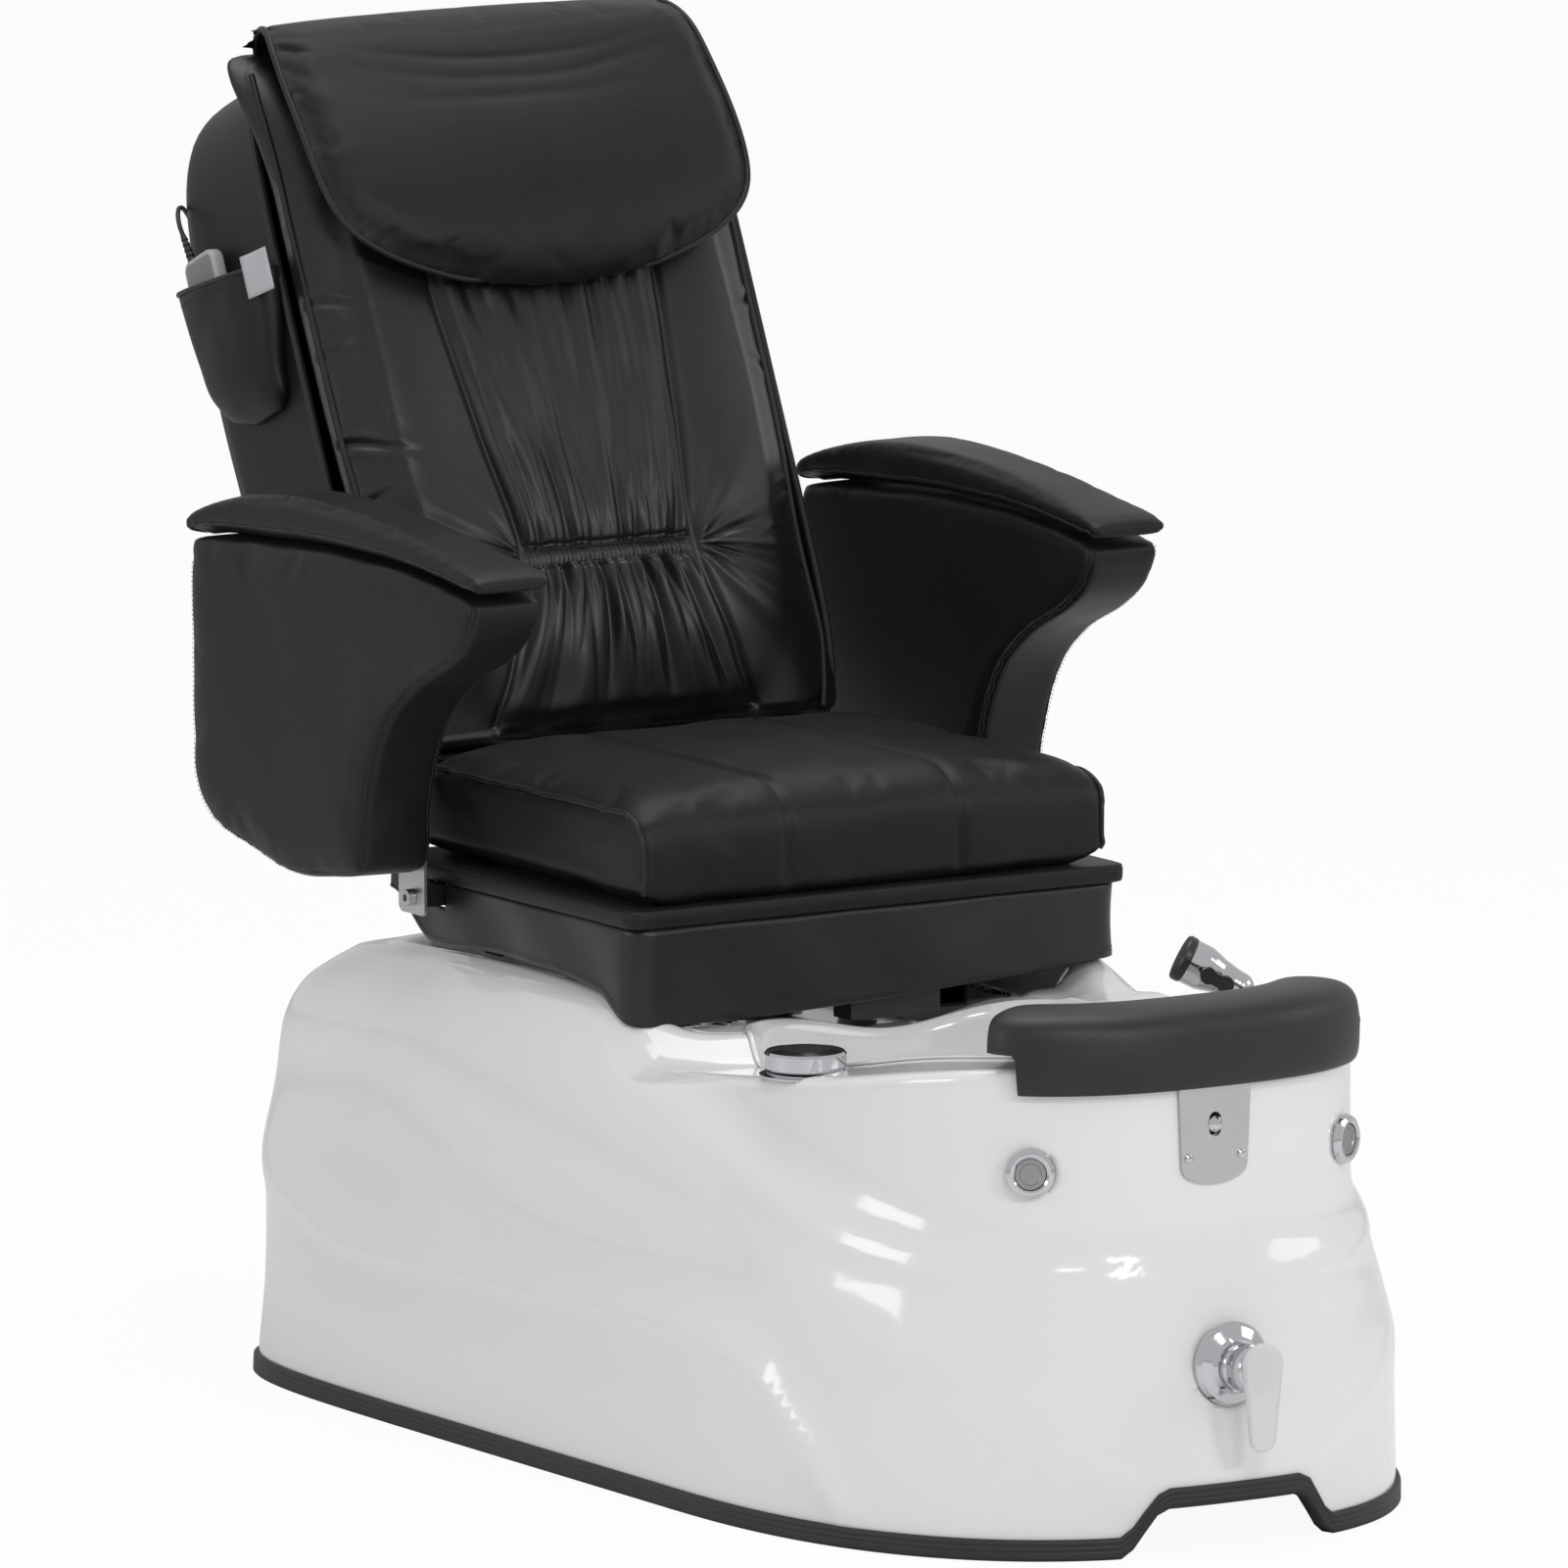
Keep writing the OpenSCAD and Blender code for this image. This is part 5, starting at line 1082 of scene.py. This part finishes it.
pad = {"swell": 4, "startInset": 1.5, "half": 45, "x": 346, "front": -73, "rear": 463,
       "under": [[-80, 826], [-48, 829], [60, 842], [200, 845], [330, 838], [430, 829], [464, 821]],
       "crest": [[-80, 841], [-62, 846], [0, 856], [90, 870], [180, 878], [260, 880], [340, 874], [410, 860],
                 [452, 847], [464, 840.5]]}
loops = []
for s in np.sin(np.radians(90 * np.linspace(-1, 1, 60))):
    y = mix(-80, 464, (s + 1) / 2)
    under = float(sheer(pad["under"], y)) + 0.6
    h = (sheer(pad["crest"], y) - under) / 2
    end = (1 - abs((y - 192) / 272.5) ** 14) ** 0.3
    p = squircle(pad["half"] - pad["startInset"], h - 0.6, 4.6, 48) * [0.86 + 0.14 * end, 1]
    atY = np.full(len(p), mix(pad["front"], pad["rear"], (s + 1) / 2))
    loops.append(np.column_stack([pad["x"] + p[:, 0], atY, under + h + p[:, 1]]))
padRight = newPiece("armPadRight", *skin(fromSeat(loops)), "leather", None)
puffUp(padRight, voxel=4.5, cap=pad["swell"])
c = coords(padRight)
n = normalsOf(padRight)
c = c + n * (0.8 * wobble(c[:, 0] / 26, c[:, 1] / 60, 41) * ease(n[:, 2] / 0.5))[:, None]
c[:, 2] = np.maximum(c[:, 2], sheer(pad["under"], c[:, 1] - chair["drawnAhead"]) - 0.3)
setCoords(padRight, c)
padLeft = mirrored(padRight, "armPadLeft", "arm_left", ["arm_pad_left"])
place(padRight, "arm_right", ["arm_pad_right"])
skinTree = surfaceTree(padRight)
hem = [(pad["x"] + side * 48, y, float(sheer(pad["under"], y)) + 5)
       for side, ys in ((1, range(-66, 455, 12)), (-1, range(454, -67, -12))) for y in ys]
hem = laidOn(skinTree, evenLine(smoothLoop(fromSeat(hem), 3), 5, closed=True), 0.1)
for side, name in ((1, "Right"), (-1, "Left")):
    pipedAlong("armPadWelt" + name, [hem * np.array([side, 1, 1])], 1.3, "arm_" + name.lower(), closed=True)
print("arms made")

# Footrest pad: skinned foam moulded over the front of the rim
rest = {"halfTurn": 31, "middle": np.array([-33, 478]),
        "section": [[5.5, 428], [13, 430], [16, 446], [15, 470], [10, 490], [-4, 501], [-30, 505], [-58, 503],
                    [-74, 494], [-80, 478], [-80, 461], [-40, 460.5], [-2, 460.5], [4.5, 460]]}
section = evenLine(smoothLoop(rest["section"], 8), 3.2, closed=True)
loops = []
for s in np.sin(np.radians(90 * np.linspace(-1, 1, 150))):
    t = np.radians(np.array([-90 + rest["halfTurn"] * s]))
    at, o = atAngle(t, rimLine)[0], outward(t, rimLine)[0]
    end = 1 - 0.3 * abs(s) ** 16
    lowest = mix(428, 466, ease((abs(s) - 0.865) / 0.012))
    e = rest["middle"] + (section - rest["middle"]) * end
    e[:, 1] = np.maximum(e[:, 1], np.maximum(lowest, np.where(e[:, 0] < 3, 460.4, 0)))
    loops.append(np.column_stack([at + o * e[:, :1], e[:, 1]]))
footrest = newPiece("footrestPad", *skin(fromSeat(loops)), "foamSkin", "base", ["footrest_pad"],
                    "leather_black")
print("footrest made")

# Backrest shell
back = {"mid": 334, "halfH": 370, "wall": 5, "mouth": 22,
        "depth": [[-40, 150], [120, 194], [330, 209], [420, 211], [560, 200], [650, 191], [706, 176]],
        "roll": [[560, 0], [620, 7], [660, 16], [700, 30], [722, 38]],
        "rings": [[0, 0], [0, 0.3], [0, 0.75], [3, 0.86], [9, 0.94], [22, 0.985]]}
unit = evenLine(squircle(1, 1, 6.5, 720), 0.035, closed=True)


def panPoints(halfW, halfH, f, wall):
    z = back["mid"] + unit[:, 1] * halfH
    mouth = back["mouth"] + sheer(back["roll"], z)
    d = np.maximum(mouth + 60, sheer(back["depth"], z))
    return np.column_stack([unit[:, 0] * halfW, mouth + (d - mouth - wall) * f, z])


def panLoop(inset, f, wall):
    return panPoints(chair["shellHalfW"] - inset - wall, back["halfH"] - inset - wall, f, wall)


def panDome(k, wall):
    return panPoints((chair["shellHalfW"] - 22) * k, (back["halfH"] - 22) * k, 0.985 + 0.015 * (1 - k), wall)


ringCurve = evenLine(smoothLoop(back["rings"], 6, closed=False) * [1, 100], 3.5) * [1, 0.01]
domeSteps = np.linspace(0.03, 0.97, 24)
loops = [panDome(k, back["wall"]) for k in domeSteps]
loops += [panLoop(r[0], r[1], back["wall"]) for r in ringCurve[::-1]]
loops += [panLoop(1.5, -0.003, 0)] + [panLoop(r[0], r[1], 0) for r in ringCurve]
loops += [panDome(k, 0) for k in domeSteps[::-1]]
pan = newPiece("backShell", *skin(fromBack(loops)), "leather", None)
pinSlots = [((s * 226 - 8, 52, -60), (s * 226 + 8, 104, 15)) for s in (-1, 1)]
boxCut(pan, pinSlots + [((-110, 58, -60), (-94, 114, -10))], fromBack)
place(pan, "backrest", ["back_shell"])
pipedAlong("backShellPiping", [fromBack(panLoop(0.5, 0.012, 0))], 3.2, "backrest", closed=True)

# Front cushion of the back with its gathered centre
cover = {"half": 262, "low": -6, "high": 722, "back": 21.2, "waist": 168, "startInset": 3, "swell": 7,
         "panel": [[-6, 150], [60, 128], [168, 98], [300, 112], [460, 128], [722, 130]],
         "crown": [[-6, 6], [90, -20], [168, -27], [260, -25], [400, -22], [560, -16], [680, -12], [722, -4]]}
coverZ = np.unique(np.concatenate([np.arange(-6, 722, 5.0), np.arange(150, 186, 2.5),
                                   [cover["low"], cover["high"]]]))


def coverLoop(z):
    s = 2 * (z - cover["low"]) / (cover["high"] - cover["low"]) - 1
    tip = (1 - abs(s) ** 12) ** (1 / 3)
    w = cover["half"] * (0.88 + 0.12 * tip) - 9 * bell((z - 150) / 120) - cover["startInset"]
    pw = float(sheer(cover["panel"], z))
    side = np.linspace(0, 1, 27)
    xs = np.concatenate([-w + (w - pw) * side[:-1], np.linspace(-pw, pw, 100), pw + (w - pw) * side[1:]])
    f = float(sheer(cover["crown"], z)) * (1 - 0.3 * (xs / w) ** 2) + cover["startInset"]
    side = np.clip((np.abs(xs) - pw) / (w - pw), 0, 1)
    f = f - 8 * np.sin(np.pi * side) ** 0.8 * tip
    f = np.minimum(16, mix(f, 15, (np.abs(xs) / w) ** 12))
    behind = cover["back"] + float(sheer(back["roll"], z))
    d = mix(cover["back"] - 8, f, tip) + float(sheer(back["roll"], z))
    rear = np.column_stack([w * np.linspace(1, -1, 22)[1:-1], np.full(20, behind - 0.4), np.full(20, z)])
    return np.vstack([np.column_stack([xs, d, np.full(len(xs), z)]), [[w, behind - 3, z]], rear,
                      [[-w, behind - 3, z]]])


backCushion = newPiece("backCushion", *skin(fromBack([coverLoop(z) for z in coverZ])), "leatherSoft", None)
airFilled(backCushion, cover["swell"])
subdivided(backCushion)


def toBack(p):  # the frame to the back's own x, depth and height
    p = np.asarray(p, float)
    y, z = p[:, 1] - chair["drawnAhead"] - chair["backFoot"][1], p[:, 2] - chair["backFoot"][2]
    return np.column_stack([p[:, 0], y * math.cos(lean) - z * math.sin(lean),
                            y * math.sin(lean) + z * math.cos(lean)])


def pleats(s, count, seed, sharp=0.75):  # rounded folds with pinched valleys between
    rng = np.random.default_rng(seed)
    cell = (s + 1) / 2 * count
    i = np.clip(np.floor(cell).astype(int), 0, count - 1)
    height = rng.uniform(0.35, 1, count + 1)
    f = np.clip(cell - i, 0, 1)
    return height[i] * np.sin(np.pi * f) ** sharp - 0.35


gather = {"fromWaist": 12, "fromPillow": 9, "flare": 10, "small": 15}


def foldRidges(s, z, count, seed, start, reachLow, reachHigh, heightLow, heightHigh, width, drift):
    # Separate soft ridges that start at a gathered line and die out along their way
    rng = np.random.default_rng(seed)
    total = np.zeros(len(s))
    way = np.abs(z - start)
    side = np.sign(z - start) * np.sign(reachLow)
    for k in range(count):
        mid = -0.96 + 1.92 * (k + rng.uniform(0.25, 0.75)) / count
        reachK, high = rng.uniform(abs(reachLow), abs(reachHigh)), rng.uniform(heightLow, heightHigh)
        w = width * rng.uniform(0.75, 1.25) * (1 + 0.9 * way / 200)
        tilt = drift * mid + rng.uniform(-0.05, 0.05)
        bendK = 0.02 * np.sin(way / rng.uniform(28, 55) + rng.uniform(0, 6))
        u = (s - mid - tilt * way / 150 - bendK * ease(way / 40)) / w
        ridge = np.where(np.abs(u) < 1, np.cos(np.pi / 2 * np.clip(u, -1, 1)) ** 1.2, 0)
        total += high * ridge * ease((reachK - way) / (0.7 * reachK)) * (side > 0)
    return total


q = toBack(coords(backCushion))
x, d, z = q.T
pw = sheer(cover["panel"], z)
s = np.clip(x / pw, -1, 1)
front = d < 12 + sheer(back["roll"], z)
inside = ease((1 - np.abs(x) / pw) * 9) * front
folds = foldRidges(s, z, gather["fromWaist"], 61, 176, 110, 300, 4.0, 8.5, 0.095, 0.10)
folds += foldRidges(s, z, gather["fromPillow"], 62, 470, -110, -290, 3.2, 7.5, 0.115, -0.05)
folds += foldRidges(s, z, 6, 63, 176, 200, 330, 2.5, 5.0, 0.2, 0.02)
folds += foldRidges(s, z, gather["flare"], 64, 160, -150, -250, 8.0, 13.5, 0.10, 0.05) * ease((z + 4) / 16)
folds += foldRidges(s, z, gather["small"], 65, 160, -22, -60, 2.0, 4.5, 0.045, 0.08)
folds += (1.2 * wobble(s * 5, z / 45, 66) + 0.2 * wobble(s * 10, z / 60, 67)) * ease(z / 60)
band = bell((z - cover["waist"]) / 8.5) ** 2
ruche = band * (1.9 * pleats(s + 0.01 * np.sin(z / 3), 40, 77, 0.9) + 2.2)
pinch = -7 * bell((z - cover["waist"]) / 24)
rim = -2.4 * (bell((z - 178.5) / 2.4) + bell((z - 157.5) / 2.4))
lift = inside * (folds * (1 - band) + ruche + pinch + rim)
seamLine = -4.2 * bell((np.abs(x) - pw) / 4.5) * front
outside = ease((np.abs(x) - pw) / 12) * front
r = np.hypot(np.abs(x) - pw, z - cover["waist"])
a = np.arctan2(z - cover["waist"], np.abs(x) - pw)
rays = (np.cos(a * 8 + 1.5 * np.sin(a * 3 + np.sign(x))) ** 3) * bell(r / 85) * ease(r / 16) * 3.6
edgeX = cover["half"] - np.abs(x)
tucks = np.zeros(len(x))
for side, z0, tilt, far, deep in ((-1, 452, -0.35, 74, 5.2), (-1, 392, 0.2, 60, 3.4), (-1, 308, -0.3, 92, 5.6),
                                  (-1, 236, 0.35, 70, 4.6), (1, 430, -0.5, 70, 4.4), (1, 340, 0.3, 60, 3.2),
                                  (1, 232, -0.4, 76, 4.6), (1, 120, 0.5, 60, 3.6), (-1, 96, 0.5, 60, 3.6)):
    off = z - z0 - tilt * edgeX - 3 * np.sin(edgeX / 17 + z0)
    form = 0.7 * bell((off - 7) / 6) - bell(off / 4.5) + 0.5 * bell((off + 8) / 7)
    tucks += (np.sign(x) == side) * deep * form * ease((far - edgeX) / far) * ease(edgeX / 8)
lift = lift + outside * (rays + 2.6 * wobble(x / 46, z / 70, 85) + tucks) + seamLine
q[:, 1] -= lift
setCoords(backCushion, fromBack(q))
place(backCushion, "backrest", ["back_cushion"])
skinTree = surfaceTree(backCushion)


def metOnBack(line, aim, *how, **more):  # the back's points moved along aim until they meet the skin
    line = np.array(line)
    return edgeOf(skinTree, fromBack(line), fromBack(line + aim) - fromBack(line), *how, **more)


edgeLine, edgeRows = [], []
for z in np.arange(4, 690, 6.0):
    s = 2 * (z - cover["low"]) / (cover["high"] - cover["low"]) - 1
    w = cover["half"] * (0.88 + 0.12 * (1 - abs(s) ** 12) ** (1 / 3)) - 9 * bell((z - 150) / 120)
    edgeLine.append((w + 2, 8 + float(sheer(back["roll"], z)), z))
for s in (-1, 1):
    line = metOnBack(np.array(edgeLine) * [s, 1, 1], [s, 0, 0], 1.2, 30, calm=4)
    edgeRows.append(evenLine(settled(line), 5))
pipedAlong("backCushionPiping", edgeRows, 3.1, "backrest")
rows = [[(s * (float(sheer(cover["panel"], z)) + 4.5), -60, z) for z in np.arange(12, 460, 5.0)]
        for s in (-1, 1)]
rows += [[(x, -60, z) for x in np.arange(-94, 95, 2.0)] for z in (162.5, 173.5)]
stitchRows("backStitches", [metOnBack(row, [0, -1, 0], 0.25) for row in rows], "backrest", 5)
print("back cushion made")

# Head pillow hung over the top
pillow = {"startInset": 4, "swell": 11, "hemSwell": 1.5, "pipingR": 3.3,
          "path": [[60, 682], [62, 704], [52, 721], [30, 731], [6, 724], [-14, 698], [-30, 648], [-46, 590],
                   [-56, 530], [-58, 488], [-55, 460], [-50, 443], [-45, 435], [-44, 431.6]],
          "half": [[431.2, 14], [431.8, 34], [434, 62], [437, 86], [441, 110], [452, 150], [470, 195],
                   [495, 228], [530, 245], [600, 250], [700, 247], [735, 240]],
          "thick": [[0, 7], [3, 8], [6, 14], [8, 19], [10, 14], [12, 8], [13, 6.5]]}
span = smoothLoop(pillow["path"], 12, closed=False)
at = np.linspace(0, len(pillow["path"]) - 1, len(span))
keep = np.unique(np.concatenate([np.arange(0, 11 * 12, 3), np.arange(11 * 12, len(span))]))
span, at = span[keep], at[keep]
v = np.gradient(span, axis=0)
v /= np.linalg.norm(v, axis=1)[:, None]
halfW = np.where(at < 4, np.interp(at, [0, 2, 4], [231, 236, 241]), sheer(pillow["half"], span[:, 1]))
thickT = sheer(pillow["thick"], at)
loops = []
for c0, d0, w, tk in zip(span, v, halfW, thickT):
    p = squircle(1, 1, 2.4, 64)
    grow = min(pillow["startInset"], w * 0.3)
    thick = max(tk - 2, 5) * p[:, 1] * (0.55 + 0.45 * (1 - p[:, 0] ** 4))
    loops.append(np.column_stack([p[:, 0] * (w - grow), c0[0] + d0[1] * thick, c0[1] - d0[0] * thick]))
headPillow = newPiece("headPillow", *skin(fromBack(loops)), "leather", None)


def pillowCap(c):  # the middle swells, the hems keep their shape
    x, d, z = toBack(c).T
    within = sheer(pillow["half"], z) - np.abs(x)
    return mix(pillow["hemSwell"], pillow["swell"], ease(within / 45) * ease((10 - d) / 30))


puffUp(headPillow, voxel=4.5, cap=pillowCap)
q = toBack(coords(headPillow))
n = normalsOf(headPillow)
x, d, z = q.T
frontSide = ease((-(n[:, 1] * math.cos(lean) - n[:, 2] * math.sin(lean)) - 0.2) / 0.4)
creases = ((1.3, 664, 34, 5, -20, 120, 91), (1.0, 641, 30, 6, 20, 150, 92), (0.9, 618, 22, 7, -10, 110, 93),
           (0.8, 694, 22, 5, 40, 130, 94))
smile = sum(-deep * bell((z - z0 - bow * (x / 200) ** 2 - 3 * wobble(x / 60, 1, seed)) / w)
            * bell((x - x0) / far) for deep, z0, bow, w, x0, far, seed in creases)
soft = 1.6 * wobble(x / 70, z / 55, 95) + 1.2 * wobble(x / 16, z / 70, 96) * bell((z - 452) / 34) \
    + 1.0 * wobble(x / 60, z / 16, 97) * bell((np.abs(x) - 225) / 34)
c = fromBack(q) + n * (frontSide * (smile + soft))[:, None]
setCoords(headPillow, c)
place(headPillow, "backrest", ["head_flap"])
skinTree = surfaceTree(headPillow)
arc = np.concatenate([[0], np.cumsum(np.linalg.norm(np.diff(span, axis=0), axis=1))])
slope = np.gradient(halfW, arc)
out = np.column_stack([np.ones(len(arc)), -slope[:, None] * v]) / np.sqrt(1 + slope**2)[:, None]
side = np.column_stack([halfW, span])
side = np.vstack([side, [[0, *span[-1]]], (side * [-1, 1, 1])[::-1]])
out = np.vstack([out, [[0, *v[-1]]], (out * [-1, 1, 1])[::-1]])
around = settled(evenLine(metOnBack(side, out, 1.0, 40, calm=4), 4), 10)
pipedAlong("headPillowPiping", [evenLine(around, 5)], pillow["pipingR"], "backrest")
print("head pillow made")

# Pocket on the shell's side, with the handset in it
pocket = {"x": -262, "wall": 2.2, "side": [[160, 0], [184, 3], [199, 9], [208, 22]],
          "rows": [[362, 66, 118, 8], [372, 52, 144, 18], [400, 44, 165, 29], [440, 30, 175, 32],
                   [480, 20, 183, 33], [504, 16, 188, 33]]}
table = np.array(pocket["rows"], float)


def pouchLoop(z, wall, puff=1.0):
    a, b, bulge = (float(sheer(np.column_stack([table[:, 0], table[:, k]]), z)) for k in (1, 2, 3))
    a, b = a + wall, b - wall
    m, h = (a + b) / 2, (b - a) / 2
    pts = []
    for i in range(72):
        if i < 48:
            t = math.pi * i / 48
            cosT, out = math.cos(t), math.sin(t) ** 0.45 * (bulge - 2 * wall) if i else 0
        else:
            cosT, out = mix(-1, 1, (i - 47.5) / 24.5), 0
        dd = m + h * cosT
        sag = 0.8 * float(wobble(dd / 22, z / 24, 101)) * (1 if 4 < i < 44 else 0) * puff
        pts.append((pocket["x"] - 0.3 + float(sheer(pocket["side"], dd)) - wall - out - sag, dd,
                    z + (wall if z < 365 else 0) + (12 * cosT * ease((z - 470) / 34))))
    return np.array(pts)


zs = np.concatenate([[362, 364, 368], np.linspace(374, 504, 26)])
loops = [pouchLoop(z, 0) for z in zs] + [pouchLoop(503.5, 1.1)]
loops += [pouchLoop(z, pocket["wall"]) for z in zs[::-1]]
pouch = newPiece("handsetPocket", *skin(fromBack(loops)), "leather", "backrest", ["handset_pocket"],
                 "leather_black")
pipedAlong("pocketBinding", [evenLine(fromBack(pouchLoop(504, 0.8, 0))[1:48], 4)], 2.3, "backrest")
frontSeam = [evenLine(np.array([fromBack(pouchLoop(z, -0.25))[i] for z in zs]), 4) for i in (43, 39)]
stitchRows("pocketStitches", frontSeam + [evenLine(fromBack(pouchLoop(494, -0.3))[3:46], 4)], "backrest", 4)


def lengthRound(z):
    ring = pouchLoop(z, 0)
    return np.linalg.norm(np.roll(ring, -1, axis=0) - ring, axis=1).sum()


area = sum(lengthRound((za + zb) / 2) * (zb - za) for za, zb in zip(zs[:-1], zs[1:]))
pouchFlat = (lengthRound(490) / 1000, 0.15)

# Bare tag sewn to the pocket's edge
bend = math.radians(18)
verts, faces = [], []
for k in range(9):
    u = 34 * k / 8
    for j in range(9):
        w = 42 * j / 8
        for t in (0, 1.2):
            sag = 0.7 * math.sin(math.pi * k / 8)
            px, py = t + sag - 0.7, u
            verts.append((pocket["x"] - 24 + px * math.cos(bend) - py * math.sin(bend),
                          -2 + px * math.sin(bend) + py * math.cos(bend), 464 + w))
for k in range(8):
    for j in range(8):
        a = (k * 9 + j) * 2
        b, c0, d0 = a + 2, a + 18, a + 20
        faces += [(a, c0, d0, b), (a + 1, b + 1, d0 + 1, c0 + 1)]
for j in range(8):
    for k in (0, 8):
        a = (k * 9 + j) * 2
        faces.append((a, a + 2, a + 3, a + 1))
        b = (j * 9 + k) * 2
        faces.append((b, b + 1, b + 19, b + 18))
newPiece("pocketTag", fromBack(verts), faces, "tag", "backrest", ["pocket_tag"], "plastic_grey")

r = handsetCord["handsetR"]
outline = np.array([(cy + r * math.cos(a), cz + r * math.sin(a))
                    for cy, cz, a0 in ((17, 128, 0), (-17, 128, 90), (-17, 26, 180), (17, 26, 270))
                    for a in np.radians(np.arange(a0, a0 + 91, 9))])


def onHandset(name, verts, faces, finish, swap=()):
    newPiece(name, fromBack(np.asarray(verts) + handsetCord["handset"]), faces, finish, "backrest", swap,
             "plastic_grey")


onHandset("handset", *prism(outline, [-6.5, -6.1, -5.1, -3.5, 0, 3.5, 5.1, 6.1, 6.5],
                            [2.6, 1.2, 0.4, 0, 0, 0, 0.4, 1.2, 2.6]), "plasticGrey", ["handset"])
onHandset("handsetFace", *prism(drawnIn(outline, -4.5), [-7.0, -6.8, -6.0], [0.8, 0, 0]), "plasticDark")
keys, faces = [], []
for row, col in ((0, 0), (0, 1), (1, 0), (1, 1), (2, 0), (2, 1)):
    disc = np.array([(-8 + 16 * col + 4.2 * math.cos(t), 98 - 15 * row + 4.2 * math.sin(t))
                     for t in np.linspace(0, math.tau, 24, endpoint=False)])
    v1, f1 = prism(disc, [-7.8, -7.6, -6.7], [0.7, 0, 0])
    faces += [tuple(i + len(keys) for i in f) for f in f1]
    keys += v1.tolist()
onHandset("handsetKeys", keys, faces, "plasticGrey")
print("pocket and handset made")
